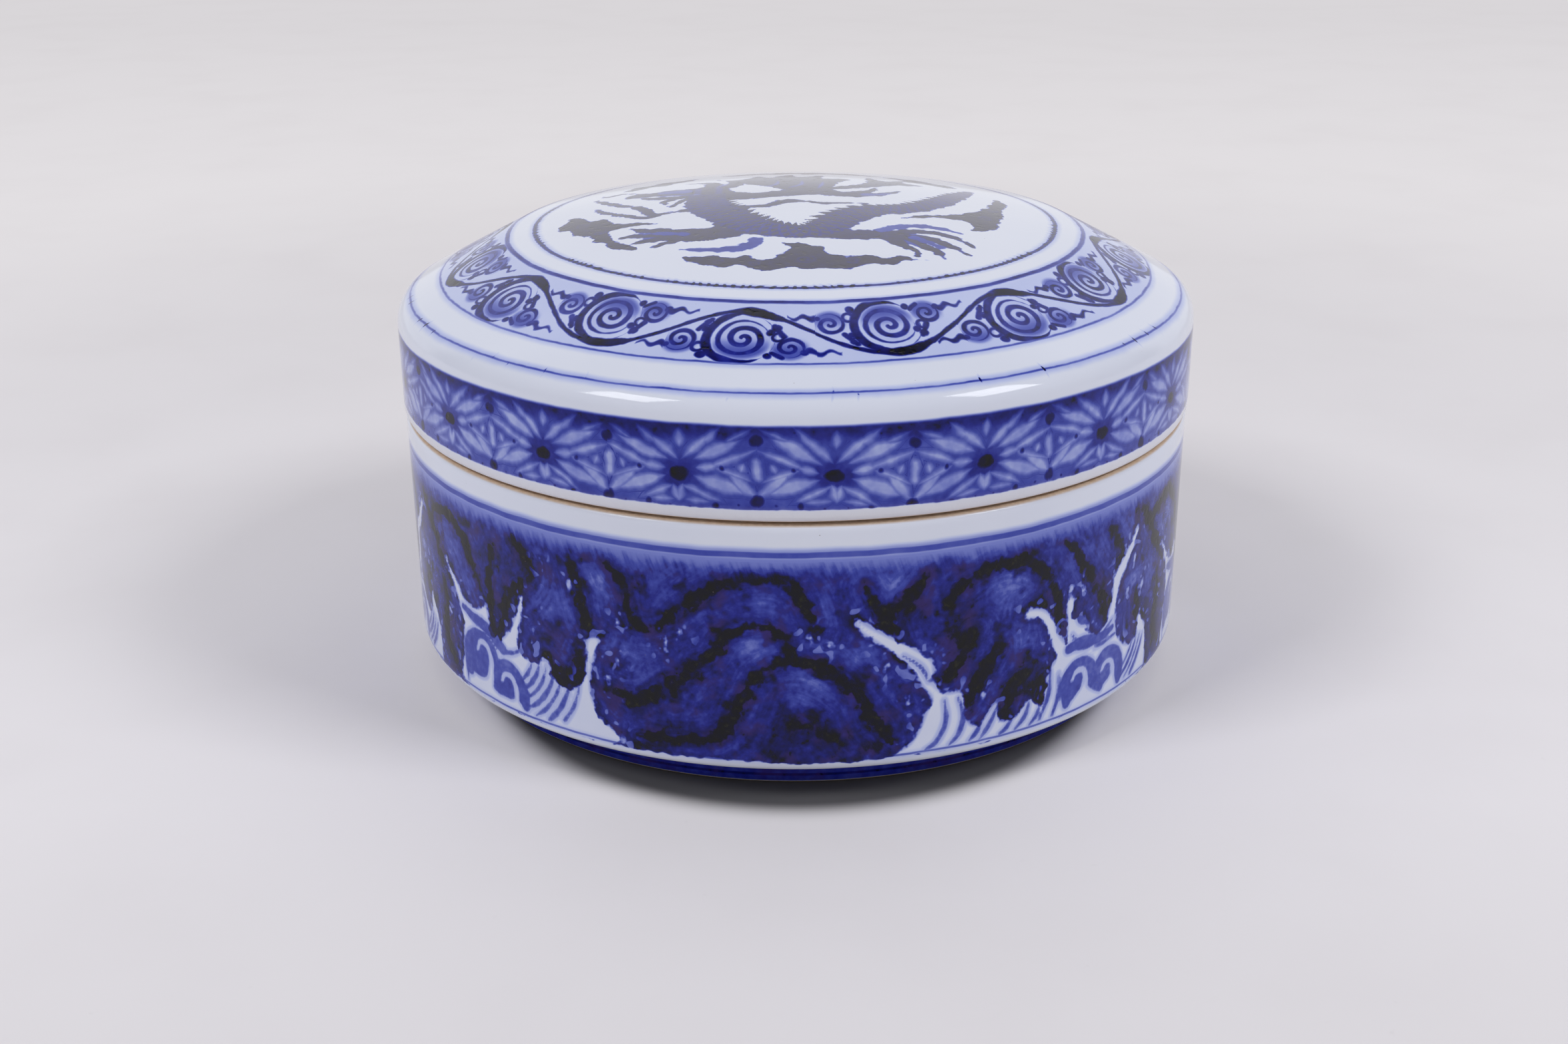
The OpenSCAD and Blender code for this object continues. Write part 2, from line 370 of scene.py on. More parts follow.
# Clouds: filled shapes, with pale curls of (across, up, radius, way round)
clouds = {
    "front": ([(-15.4, -27.2), (-14.6, -29), (-12.4, -30.4), (-9.6, -31.8), (-7.6, -31), (-5, -33.2),
               (-2.4, -33), (-0.4, -32.2), (1.6, -33), (4.4, -32.6), (7, -32.8), (9.6, -31), (13, -30.6),
               (15.8, -28.8), (18.8, -28.2), (16.4, -28.2), (14.6, -27.2), (12.4, -28.4), (9.8, -27.6),
               (7.2, -28.4), (4.4, -27), (3.4, -24.6), (-1.8, -23.2), (-0.4, -25), (-1.6, -27.6),
               (-4.4, -29.8), (-6.4, -28), (-9, -28.6), (-11.2, -27.4), (-13.2, -27.8)],
              [(-5.4, -30.8, 1, 1), (1.4, -29.6, 1.5, -1), (8, -30, 1.1, 1), (-10.6, -29.6, 0.8, -1)]),
    "left": ([(-35.2, -7.4), (-34.6, -4.4), (-33.4, -1), (-31.8, -3), (-30.4, -4.6), (-28.4, -5),
              (-26.8, -8), (-24, -9.4), (-20, -10.8), (-24, -11.2), (-27, -12.4), (-26.4, -15.4),
              (-25.2, -18.4), (-23.4, -20.2), (-22, -22.6), (-24.6, -21.8), (-26.6, -20), (-27, -18),
              (-28.8, -16.4), (-29.6, -13.6), (-32, -11.8), (-32.8, -9.4)],
             [(-31.2, -7.2, 1.3, 1), (-28.4, -12.4, 1, -1)]),
    "right": ([(15.6, -10.2), (20, -8.4), (24, -8.2), (26, -10.4), (25.4, -13.4), (27.6, -12.6),
               (29.6, -10.6), (30.2, -7), (31.2, -3), (31.4, 1), (32.6, 5.4), (31.8, 10.4), (30.4, 6.6),
               (29.2, 2.2), (27.6, -1.6), (25.2, -4), (22.6, -6.2), (19.4, -7.4)],
              [(28.4, -5.6, 1.3, 1), (29.8, 0, 0.9, -1)]),
    "far": ([(-11.6, 27.6), (-9, 29.4), (-6.6, 30.6), (-4, 30.4), (-2, 32.2), (1, 31.4), (3.4, 32.2),
             (6, 30.8), (8.6, 30.4), (11.4, 28.6), (14.6, 26.4), (11, 27), (7.6, 27.8), (4.4, 28.4),
             (1.6, 27.2), (0.4, 28.6), (-2.4, 27.8), (-5.6, 28.2), (-8.6, 27.4)],
            [(-4, 29.2, 0.8, 1), (4, 30, 0.8, -1)]),
    "farLeft": ([(-27.6, 17.4), (-25.6, 20.4), (-23, 21.6), (-21.6, 23.8), (-18.6, 24.4), (-16, 26),
                 (-17.4, 22.8), (-19.4, 21.6), (-20, 19.4), (-23, 18.8), (-24.6, 17.2)],
                [(-22, 21, 0.9, 1)]),
    "farRight": ([(14.4, 26.2), (17.6, 24.8), (20.4, 24), (22.2, 21.4), (25, 20), (26, 17.4), (23, 18.2),
                  (20.6, 19.6), (18, 20.6), (17.4, 22.8)], [(20.4, 22, 0.9, -1)]),
}


def curl(across, up, size, way, width=0.2):
    # A thin pale line left in the wash, winding inwards
    turns = np.linspace(0, 1.35 * 2 * math.pi, 18)
    radii = size * (1 - 0.75 * turns / turns[-1])
    angles = 0.8 + way * turns
    return [(across + r * math.cos(a), up + r * math.sin(a), width) for a, r in zip(angles, radii)]


def paintLid(shell):
    places = placesOf(shell)
    x, y = places[:, 0], places[:, 1]
    top = (places[:, 2] > lid["rimHeight"]) & (np.hypot(x, y) < dragon["reach"])
    sheet = Cloth(x[top], y[top])
    far = brush["far"]
    ink, cloud, pale, left = [np.full(top.sum(), far) for count in range(4)]
    body = smoothLine(dragon["body"], dragon["bodySteps"])
    run, side, gap = along(body, sheet.across, sheet.up)
    width = np.interp(run, np.linspace(0, run.max(), len(body)), body[:, 2])
    saw = 1 - (run / dragon["toothWidth"]) % 1
    tooth = dragon["toothHeight"] * saw * np.clip(width / dragon["fullWidth"], 0.3, 1)
    ink = np.minimum(ink, gap - width - np.where((side > 0) & (side < 3), tooth, 0))
    for part in ("head", "legs", "claws"):
        for points in dragon[part]:
            sheet.stroke(ink, points)
    for points in dragon["masses"]:
        sheet.area(ink, points)
    for points in dragon["paleStrokes"]:
        sheet.stroke(pale, points)
    for points in dragon["left"]:
        sheet.stroke(left, points)
    for outline, curls in clouds.values():
        sheet.area(cloud, outline)
        for spot in curls:
            sheet.stroke(left, curl(*spot), smooth=False)
    run = np.minimum(run, dragon["longestRun"])
    side = np.where(gap > dragon["netReach"], brush["wayOff"], side)
    values = {"ink": ink, "cloud": cloud, "pale": pale, "left": left, "run": run, "side": side}
    for name, some in values.items():
        whole = np.full(len(places), brush["wayOff"] if name == "side" else far)
        whole[top] = some
        keepValues(shell, name, whole)


paintLid(lidShell)
print("lid's dragon drawn")

# Rocks and waves round the base. Across is degrees round from the front and up is height above the table.
# The pattern comes round three times, so it is laid out from -60 to 60 degrees.
wallScale = math.radians(pot["baseRadius"])
shore = {
    "lap": 120, "low": 6.9,
    "foam": [
        [(-57.1, 25.1), (-54, 22.5), (-51.9, 20.2), (-48.9, 20), (-46.5, 21.2), (-45.8, 17.2),
         (-44.1, 16.7), (-41.7, 19.2), (-40, 22.5), (-39.3, 25), (-38.3, 24.8), (-39.6, 19.9),
         (-40, 16.9), (-37.9, 15.6), (-34.8, 16.5), (-33.8, 14), (-31.1, 13.2), (-29.4, 14.6),
         (-28.4, 17.2), (-28, 21.5), (-26, 21.8), (-27.3, 17.9), (-27.8, 14.2), (-27, 11.3), (-25.6, 9.6),
         (-23.6, 6.4), (-40, 6.2), (-53.3, 6.4), (-53.5, 11.3), (-52.8, 15.2), (-53.6, 19.2),
         (-55.7, 22.5)],
        [(7.2, 27.5), (9.2, 26.1), (12.3, 24.1), (14.4, 22.8), (17.4, 20.2), (17.8, 17.2), (19.1, 15.2),
         (21.9, 14.6), (22.2, 10.8), (24.3, 9.3), (27, 12.4), (27.3, 9.5), (29.7, 8.8), (32.1, 11.3),
         (34.3, 9.6), (35.2, 14.2), (36.4, 15.9), (35.7, 17.9), (34.7, 20.5), (33.3, 22.8), (31, 23.5),
         (31, 24.8), (33.7, 24.3), (35.8, 22.2), (36.6, 19.9), (38.6, 17.2), (39.2, 15.4), (38.3, 6.4),
         (25, 6.2), (12.3, 6.4), (14.4, 8), (15.7, 9.9), (16.7, 12.6), (17.4, 14.6), (16.4, 16.2),
         (14.7, 19.2), (12.6, 21.5), (10.3, 23.5), (7.9, 25.5)],
        [(38, 6.4), (38, 15), (38.3, 20), (37.9, 24.6), (39.6, 24), (39.4, 21.5), (42, 20.8),
         (42.6, 18.2), (45.1, 17.2), (46.8, 19.2), (47.6, 22.5), (47.6, 24.8), (50.7, 27.8), (53.1, 30.6),
         (53.8, 29.8), (51.6, 26.1), (49.6, 23.8), (49, 21.2), (48.6, 17.5), (50, 14.6), (51.9, 12.9),
         (54.5, 12.8), (55.4, 17), (56.6, 15.6), (58.2, 12.8), (58.6, 9), (57.4, 6.4), (48, 6.2)],
    ],
    "spots": [(-34.8, 30.8), (-30.4, 29.1), (-36.2, 22.5), (-37.4, 18.5), (-23.6, 19.5), (-25.1, 15.6),
              (-23.4, 24.8), (-14.9, 25), (-16.7, 22.8), (1.7, 24.8), (4.1, 23.8), (11.4, 20), (14.2, 15),
              (24.6, 13.6), (38.8, 26), (41, 25), (53, 25.4), (51.6, 21), (-57, 16.5), (56, 21)],
    "spotSize": (0.28, 1.0),
    "contours": [
        [(-21.9, 28.4, 0.6), (-21.5, 26.1, 0.8), (-19.8, 25, 0.8), (-17.2, 25.8, 0.7), (-15.2, 27.8, 0.8),
         (-12.3, 30.4, 0.9), (-8.9, 32.3, 0.9), (-5.5, 33.1, 0.9), (-2, 32.8, 0.9), (0.4, 30.8, 0.9),
         (1.4, 28.4, 0.8), (2.3, 25.8, 0.5)],
        [(-14.6, 17.6, 0.6), (-13.3, 20.2, 0.9), (-10.9, 21.8, 0.9), (-9.4, 24.4, 0.8), (-7.3, 25.9, 0.7),
         (-4.1, 26.4, 0.7), (-2, 25.4, 0.8), (-1, 23.4, 0.8), (-0.3, 21.8, 0.4)],
        [(4.4, 20.6, 0.5), (1.2, 21.3, 0.9), (-2.4, 21.2, 0.9), (-5.1, 19.3, 0.8), (-6.3, 16.8, 0.9),
         (-7.7, 13.9, 0.9), (-9.4, 10.9, 0.9), (-11.7, 9.4, 0.9), (-15.7, 8.9, 0.7), (-20.8, 8.6, 0.5)],
        [(0.7, 21.2, 0.6), (4.1, 19.8, 0.9), (7.2, 17.2, 0.8), (8.5, 15.2, 0.8), (9.4, 12.8, 0.9),
         (10.9, 11, 0.8), (12.2, 8.6, 0.5)],
        [(-24.3, 14.8, 0.6), (-21.9, 13.6, 1.2), (-19.1, 14.9, 1), (-16.4, 17.2, 0.9),
         (-15.8, 15.2, 0.4)],
        [(-39.6, 33.2, 0.7), (-37.9, 31.1, 1), (-36.8, 29.1, 1), (-38.4, 27, 1), (-41, 24.8, 1),
         (-42.4, 22.4, 1), (-42.6, 20.2, 0.9), (-43.8, 18.2, 0.6)],
        [(-44.5, 30.6, 0.5), (-45.5, 26, 0.8), (-45.6, 21.8, 0.9), (-45.4, 18.8, 0.9),
         (-44.3, 17.6, 0.5)],
        [(-30.4, 33.2, 0.5), (-29, 29, 0.9), (-28.4, 25.2, 0.9), (-27.6, 23.2, 0.9), (-25.6, 23, 0.5)],
        [(-24.6, 33.4, 0.5), (-22.8, 31.4, 0.9), (-22, 28.6, 0.7)],
        [(-61.5, 30.4, 0.7), (-58.6, 32.1, 0.9), (-55.4, 32.3, 0.9), (-52.2, 30.6, 0.9),
         (-49.9, 27.9, 0.9), (-48.2, 24.8, 0.8), (-46.6, 22.4, 0.5)],
        [(-34.8, 17.4, 0.7), (-33.5, 15.6, 1.2), (-31.3, 14.8, 1.3), (-29.8, 16.6, 1.1),
         (-28.9, 19.6, 0.7)],
        [(19, 27.6, 0.5), (21.2, 30.3, 0.9), (24.6, 32, 0.9), (28, 32.6, 0.9), (31.4, 31.6, 0.9),
         (34.1, 29.1, 0.9), (35.8, 25.8, 0.9), (36.6, 22.5, 0.8), (36.9, 19.8, 0.4)],
        [(8.6, 31.6, 0.4), (10.6, 28, 0.8), (11.9, 25.6, 0.9), (13, 22.6, 0.9), (14.8, 20.8, 0.5)],
        [(16.1, 32.4, 0.7), (14.6, 30.4, 0.9), (12.4, 28, 0.8), (11.9, 25.6, 0.6)],
        [(23.2, 23.2, 0.9), (22.2, 20.8, 1.0), (20.2, 18.4, 0.9), (19, 17, 0.5)],
        [(26.9, 20.2, 0.9), (24.8, 17.4, 1.3), (23.6, 15, 1.0), (22.8, 12.4, 0.4)],
        [(31.2, 16, 0.8), (29.1, 13.6, 1.4), (28.4, 11, 1.1), (28.6, 9.2, 0.4)],
        [(34.3, 14, 0.7), (34, 11.6, 0.9), (34.4, 9.8, 0.4)],
        [(30.6, 25, 0.3), (32.6, 25.4, 0.8), (34, 24.8, 0.4)],
        [(37.4, 33.2, 0.4), (40.6, 29.2, 0.8), (43.4, 25, 0.8), (45.6, 21.6, 0.9), (46.2, 19.4, 0.5)],
        [(46.2, 32.9, 0.5), (48, 30.4, 0.8), (50.2, 27.6, 0.5)],
        [(54.4, 33.3, 0.4), (57.4, 29.8, 0.8), (60.6, 25.6, 0.9), (63, 22.4, 0.6)],
        [(54, 20.4, 0.6), (55, 16.8, 1.1), (56.2, 14.8, 0.9), (57.4, 16.6, 0.5)],
        [(-58.4, 21, 0.4), (-57.6, 17.6, 0.9), (-58.8, 13.4, 1.0), (-57.4, 10.2, 0.9), (-55, 8.2, 0.5)],
    ],
    "fills": [  # the blue body of the breaking crests
        [(-51.8, 9.4, 1.0), (-51.2, 13, 1.9), (-49.2, 14.6, 2.2), (-47, 14.2, 2.2), (-45.6, 12.4, 1.6)],
        [(-50.6, 10.4, 1.2), (-48.8, 11.2, 2.0), (-47.6, 12.2, 1.6)],
        [(-45.2, 9.4, 1.2), (-44.2, 11.6, 1.9), (-41.8, 12, 2), (-40, 10, 1.6), (-39.2, 8, 0.8)],
        [(-44.6, 9, 1), (-42.6, 9.6, 1.6)],
        [(38.9, 8.2, 0.8), (39, 11.4, 1.7), (40.8, 12.8, 2), (43, 12.2, 1.7), (44.2, 10, 1.1),
         (46, 8.2, 0.6)],
        [(39.4, 9.4, 1.2), (40.4, 10.6, 1.5)],
        [(45.4, 10.2, 1.2), (46.4, 12.4, 1.7), (48.6, 12.2, 1.8), (50.2, 10, 1.4), (50.4, 7.8, 0.7)],
        [(46, 9.4, 1.2), (47, 10, 1.3)],
        [(17.8, 17.4, 0.5), (19.4, 16.6, 1.1), (21, 17, 0.9), (21.4, 18.6, 0.5)],
        [(-52.6, 19, 0.5), (-49.6, 18.2, 0.9), (-46.4, 17.6, 1), (-43.4, 15.6, 0.9)],
        [(38.8, 16.8, 0.8), (41.6, 17, 1), (45, 16.4, 0.9), (48, 17, 0.5)],
        [(40, 22.4, 0.4), (41, 20.6, 0.7), (43.6, 19.6, 0.6), (46, 18.2, 0.4)],
    ],
    "hooks": [  # white left in each crest, curling over
        [(-49.4, 13.4, 0.2), (-48.6, 14.9, 0.36), (-47, 14.8, 0.42), (-46.2, 13, 0.46),
         (-46.4, 10.8, 0.62), (-47, 8.4, 0.9)],
        [(-44, 10.4, 0.2), (-43.3, 11.7, 0.34), (-41.8, 11.7, 0.38), (-41, 10.2, 0.4), (-41, 8.6, 0.45),
         (-41.4, 7.2, 0.5)],
        [(39.8, 11.6, 0.2), (40.6, 12.7, 0.36), (42, 12.5, 0.42), (42.6, 10.8, 0.46), (42.5, 9, 0.55),
         (42.9, 7.2, 0.8)],
        [(46, 10.8, 0.2), (46.9, 11.9, 0.34), (48.3, 11.6, 0.38), (48.9, 9.9, 0.42), (48.6, 8.2, 0.5),
         (48.4, 7, 0.6)],
        [(19.6, 17.6, 0.15), (20.8, 18, 0.26), (21.6, 17, 0.3), (21.6, 15.4, 0.3)],
    ],
    "waves": [
        [(19.2, 14, 0.2), (19.5, 11, 0.4), (18.3, 8, 0.38), (16.6, 6.9, 0.2)],
        [(21.2, 14, 0.2), (22, 11.2, 0.42), (21.4, 8.6, 0.4), (20, 7, 0.2)],
        [(24.6, 9.6, 0.2), (24, 8.2, 0.4), (22.8, 7, 0.2)],
        [(27.1, 11.6, 0.2), (25.8, 8.8, 0.42), (24.4, 7, 0.2)],
        [(29.5, 9.2, 0.2), (28.6, 7.8, 0.4), (27.4, 7, 0.2)],
        [(32.2, 11, 0.2), (31.4, 8.6, 0.4), (29.8, 7, 0.2)],
        [(34.2, 10, 0.2), (33.4, 8.2, 0.38), (32.2, 7, 0.2)],
        [(35.6, 14.4, 0.2), (35.4, 10.8, 0.42), (34, 7.4, 0.3)],
        [(37.1, 13.6, 0.2), (37.2, 10, 0.4), (36.2, 7.2, 0.25)],
        [(39.4, 16.4, 0.25), (42.4, 16, 0.4), (45, 16.4, 0.38), (48, 18.4, 0.2)],
        [(39.3, 18.8, 0.2), (40.6, 17.4, 0.4), (43, 17.2, 0.3)],
        [(48.9, 15.8, 0.2), (46, 15.3, 0.36), (44.2, 15.2, 0.2)],
        [(-51.9, 19.4, 0.2), (-49.6, 18.2, 0.4), (-46.6, 18.6, 0.2)],
        [(-47.8, 18.9, 0.2), (-44.6, 15.6, 0.4), (-41.6, 15.6, 0.36), (-39.2, 17, 0.2)],
        [(-53, 14, 0.2), (-52.8, 10.6, 0.38), (-52.6, 7.2, 0.2)],
        [(13.6, 21.4, 0.2), (15.9, 19.4, 0.36), (17, 17.2, 0.2)],
    ],
    "ripples": [  # nested arcs: middle, radii and the angles they run between
        ((-43.7, 17.4), (6.7, 8.0, 9.3, 10.7, 12.1, 13.6, 15.2), (-10, -66)),
        ((46.6, 16.6), (8.6, 9.7, 10.8, 11.9), (-20, -66)),
    ],
    "shades": [  # blots: darker above 0, thinner below
        (-4, 29.6, 3.4, -0.2), (-5.5, 24, 2.4, -0.22), (1.5, 18, 3.6, -0.22), (5, 12.5, 2.6, -0.06),
        (-1, 13, 4, 0.12), (4.5, 9.5, 4.5, 0.2), (-2.5, 9, 3.5, 0.18), (-14, 12.5, 4, 0.08),
        (-19, 10.5, 3, 0.1), (-20, 20, 3.2, -0.1), (-24, 22, 2.4, -0.14), (-33.5, 25, 3.4, -0.14),
        (-32, 20, 3, 0.08), (-26, 31, 2.6, -0.16), (-20, 31.6, 2.4, -0.1), (6, 30, 3, -0.12),
        (12, 31.4, 2.4, -0.16), (28, 29.4, 3.2, -0.22), (24, 27, 3, 0.04), (30, 21, 3, -0.1),
        (22, 24, 2.8, 0.12), (32, 14, 3, 0.12), (39.6, 30.6, 2.4, -0.16), (44.4, 30.4, 2.6, -0.08),
        (51, 31, 3, -0.1), (41.6, 22, 2.4, 0.04), (52.6, 23.6, 2.4, -0.16), (57.6, 22, 3, -0.08),
        (-55, 28, 3.4, -0.18), (-50.6, 24, 2.4, -0.06), (-57.5, 12, 3.4, 0.1), (-46.5, 28.6, 2.6, 0.06),
        (-41, 29, 2.6, 0.12), (15.2, 26.6, 2.4, 0.14), (-10, 27.4, 2.2, 0.04), (-10.5, 15, 2.2, 0.1),
        (8.5, 22.6, 2.6, -0.08), (11, 17, 2.2, -0.04),
    ],
}


def paintBase(shell):
    places = placesOf(shell)
    radius = np.hypot(places[:, 0], places[:, 1])
    wall = (radius > base["baseRadius"] - 3) & (places[:, 2] < base["seatHeight"]) & (places[:, 2] > 3.5)
    angle = np.degrees(np.arctan2(places[wall, 0], -places[wall, 1]))
    sheet = Cloth(angle * wallScale, places[wall, 2], shore["lap"] * wallScale)

    def flat(points):
        return [(p[0] * wallScale,) + tuple(p[1:]) for p in points]

    far = brush["far"]
    gaps = {name: np.full(wall.sum(), far) for name in ("foam", "wave")}
    gaps["contour"] = np.full(wall.sum(), brush["contourReach"])
    white = np.full(wall.sum(), far)
    for points in shore["foam"]:
        sheet.area(gaps["foam"], flat(points))
    slim, tall = shore["spotSize"]
    for k, (across, up) in enumerate(shore["spots"]):
        lean = 0.25 * math.sin(2.4 * k)
        long = tall * (0.7 + 0.3 * math.sin(1.7 * k))
        wide = slim + 0.12 * math.sin(k)
        spot = [(across - lean, up - long, 0.1), (across, up, wide), (across + lean, up + long, 0.08)]
        sheet.stroke(gaps["foam"], flat(spot))
    for part in ("fills", "waves"):
        for points in shore[part]:
            sheet.stroke(gaps["wave"], flat(points))
    for (across, up), radii, (start, end) in shore["ripples"]:
        for k, size in enumerate(radii):
            turns = np.radians(np.linspace(start, end, 7))
            widths = np.array([0.12, 0.3, 0.42, 0.44, 0.4, 0.3, 0.14]) * (1 if k % 2 else 0.75)
            xs = across * wallScale + size * np.cos(turns)
            ys = up + size * np.sin(turns)
            sheet.stroke(gaps["wave"], [p for p in zip(xs, ys, widths) if p[1] > shore["low"]])
    for points in shore["hooks"]:
        sheet.stroke(white, flat(points))
    gaps["wave"] = np.maximum(gaps["wave"], -white)
    for points in shore["contours"]:
        sheet.stroke(gaps["contour"], flat(points), brush["contourReach"])
    shade = np.zeros(wall.sum())
    sheet.blots(shade, [(a * wallScale, up, size, much) for a, up, size, much in shore["shades"]])
    gaps["shade"] = shade
    for name, some in gaps.items():
        whole = np.full(len(places), 0.0 if name == "shade" else far)
        whole[wall] = some
        keepValues(shell, name, whole)


paintBase(baseShell)
print("rocks and waves drawn")

# The mound of paste: turned from its outline, then worked over with a spatula. Every mark goes inwards.
spatula = {
    "pitch": 7.5, "depth": 0.55, "wander": 0.12,
    "lumps": 9, "lumpDepth": 0.1, "crumbs": 2.6, "crumbDepth": 0.06,
    "heights": [12, 17], "radii": [2, 6, 38, 46], "strengths": [0, 1, 1, 0.35],
}


def makePaste():
    s = spatula
    p = base
    edge = p["pasteRadius"] - p["pasteEdge"]
    slope = math.radians(p["pasteSlope"])
    edgeHeight = p["floorHeight"] + p["pasteEdge"]
    reach = edge + p["pasteEdge"] * math.sin(slope)
    size = reach / math.sin(slope)
    centre = edgeHeight + (p["pasteEdge"] - size) * math.cos(slope)
    side = arc(edge, edgeHeight, p["pasteEdge"], -90, 90 - p["pasteSlope"], meshing["pasteFacets"])
    crown = dome(centre, size, reach, meshing["crownRings"])[-2::-1]
    mound = turned("pasteMound", [(0, p["floorHeight"])] + side + crown, meshing["pasteSegments"])
    places = placesOf(mound)
    radius = np.hypot(places[:, 0], places[:, 1])
    turn = np.arctan2(places[:, 1], places[:, 0])
    rough = np.array([noise.noise(Vector(q) / s["lumps"]) for q in places])
    fine = np.array([noise.noise(Vector(q) / s["crumbs"]) for q in places])
    swirl = (radius / s["pitch"] + turn / (2 * math.pi) + s["wander"] * rough) % 1
    groove = np.abs(swirl - 0.5) * 2
    strength = np.interp(places[:, 2], s["heights"], [0, 1]) * np.interp(radius, s["radii"], s["strengths"])
    depth = s["depth"] * (1 - groove ** 2) ** 2 * strength
    depth += s["lumpDepth"] * (1 + rough) + s["crumbDepth"] * (1 + fine)
    centreLine = np.stack([places[:, 0] * 0, places[:, 1] * 0, np.full(len(places), edgeHeight)], 1)
    inward = centreLine - places
    inward /= np.linalg.norm(inward, axis=1)[:, None]
    places += inward * np.where(places[:, 2] < p["floorHeight"] + 0.5, 0, depth)[:, None]
    mound.data.vertices.foreach_set("co", (places * mm).ravel())
    mound.data.update()
    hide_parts("seal_paste")
    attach(mound, "base")
    return mound


pasteMound = makePaste()
print("paste worked,", len(pasteMound.data.polygons), "faces")


# Shader sums are written with Wire, one number at each point of the surface

def tint(red, green, blue):
    # A colour as read off a screen, 0 to 255, as light
    levels = [((c / 255 + 0.055) / 1.055) ** 2.4 if c > 10 else c / 3295 for c in (red, green, blue)]
    return tuple(levels) + (1,)


class Wire:
    def __init__(self, tree, socket):
        self.tree = tree
        self.socket = socket

    def sum(self, kind, *others, soft=False):
        node = self.tree.nodes.new("ShaderNodeMath")
        node.operation = kind
        node.use_clamp = soft
        for slot, value in zip(node.inputs, (self,) + others):
            plug(self.tree, value, slot)
        return Wire(self.tree, node.outputs[0])

    def __add__(self, other):
        return self.sum("ADD", other)

    def __sub__(self, other):
        return self.sum("SUBTRACT", other)

    def __rsub__(self, other):
        return self.sum("MULTIPLY_ADD", -1, other)

    def __mul__(self, other):
        return self.sum("MULTIPLY", other)

    def __truediv__(self, other):
        return self.sum("DIVIDE", other)

    __radd__ = __add__
    __rmul__ = __mul__

    def size(self):
        return self.sum("ABSOLUTE")

    def least(self, other):
        return self.sum("MINIMUM", other)

    def most(self, other):
        return self.sum("MAXIMUM", other)

    def held(self):
        return self.sum("ADD", 0, soft=True)

    def ramp(self, low, high, start=0.0, end=1.0):
        # Eases from start to end as this number goes from low to high
        node = self.tree.nodes.new("ShaderNodeMapRange")
        node.interpolation_type = "SMOOTHSTEP"
        for slot, value in zip(node.inputs, (self, low, high, start, end)):
            plug(self.tree, value, slot)
        return Wire(self.tree, node.outputs[0])

    def inside(self, soft):
        # 1 within a shape whose edge is at 0
        return self.ramp(soft, -soft)


def plug(tree, value, slot):
    if isinstance(value, Wire):
        tree.links.new(value.socket, slot)
    else:
        slot.default_value = value


def least(*wires):
    best = wires[0]
    for wire in wires[1:]:
        best = best.least(wire)
    return best


def most(*wires):
    best = wires[0]
    for wire in wires[1:]:
        best = best.most(wire)
    return best


def length(across, up):
    return (across * across).sum("MULTIPLY_ADD", 1, up * up).sum("SQRT")


def blend(tree, mask, first, second, kind="RGBA"):
    node = tree.nodes.new("ShaderNodeMix")
    node.data_type = kind
    slots = [s for s in node.inputs if s.type == ("RGBA" if kind == "RGBA" else "VALUE")]
    plug(tree, mask, node.inputs[0])
    if kind == "RGBA":
        plug(tree, first, slots[0])
        plug(tree, second, slots[1])
        return Wire(tree, [s for s in node.outputs if s.type == "RGBA"][0])
    plug(tree, first, slots[1])
    plug(tree, second, slots[2])
    return Wire(tree, node.outputs[0])


def kept(tree, name):
    node = tree.nodes.new("ShaderNodeAttribute")
    node.attribute_name = name
    return Wire(tree, node.outputs["Fac"])


def noiseAt(tree, place, detail):
    # About -1 to 1, and mostly near 0
    node = tree.nodes.new("ShaderNodeTexNoise")
    node.inputs["Scale"].default_value = 1
    node.inputs["Detail"].default_value = detail
    tree.links.new(place, node.inputs["Vector"])
    return Wire(tree, node.outputs["Fac"]).sum("MULTIPLY_ADD", 3.2, -1.6)


def grain(tree, size, detail=2.0, seed=0.0, stretch=(1, 1, 1)):
    # Noise whose lumps are about this many millimetres across
    coords = tree.nodes.new("ShaderNodeTexCoord")
    shift = tree.nodes.new("ShaderNodeMapping")
    shift.inputs["Location"].default_value = (seed, seed, seed)
    scale = 1 / (size * mm)
    shift.inputs["Scale"].default_value = [scale * s for s in stretch]
    tree.links.new(coords.outputs["Object"], shift.inputs["Vector"])
    return noiseAt(tree, shift.outputs[0], detail)


def splitUp(tree, output):
    coords = tree.nodes.new("ShaderNodeTexCoord")
    parts = tree.nodes.new("ShaderNodeSeparateXYZ")
    tree.links.new(coords.outputs[output], parts.inputs[0])
    return [Wire(tree, part) for part in parts.outputs]


def ramped(tree, value, stops):
    node = tree.nodes.new("ShaderNodeValToRGB")
    marks = node.color_ramp.elements
    while len(marks) < len(stops):
        marks.new(0.5)
    for mark, (place, colour) in zip(marks, stops):
        mark.position = place
        mark.color = tint(*colour)
    plug(tree, value, node.inputs["Fac"])
    return Wire(tree, node.outputs["Color"])


def makeGroup(name, inputs, outputs, build):
    # build takes the tree and a Wire for each input, and gives back a Wire for each output
    tree = bpy.data.node_groups.new(name, "ShaderNodeTree")
    for label, kind in inputs:
        tree.interface.new_socket(label, in_out="INPUT", socket_type="NodeSocket" + kind)
    for label, kind in outputs:
        tree.interface.new_socket(label, in_out="OUTPUT", socket_type="NodeSocket" + kind)
    start = tree.nodes.new("NodeGroupInput")
    end = tree.nodes.new("NodeGroupOutput")
    results = build(tree, *[Wire(tree, start.outputs[label]) for label, kind in inputs])
    for (label, kind), result in zip(outputs, results):
        plug(tree, result, end.inputs[label])
    return tree


def useGroup(tree, group, *values):
    node = tree.nodes.new("ShaderNodeGroup")
    node.node_tree = group
    for slot, value in zip(node.inputs, values):
        plug(tree, value, slot)
    return [Wire(tree, s) for s in node.outputs]


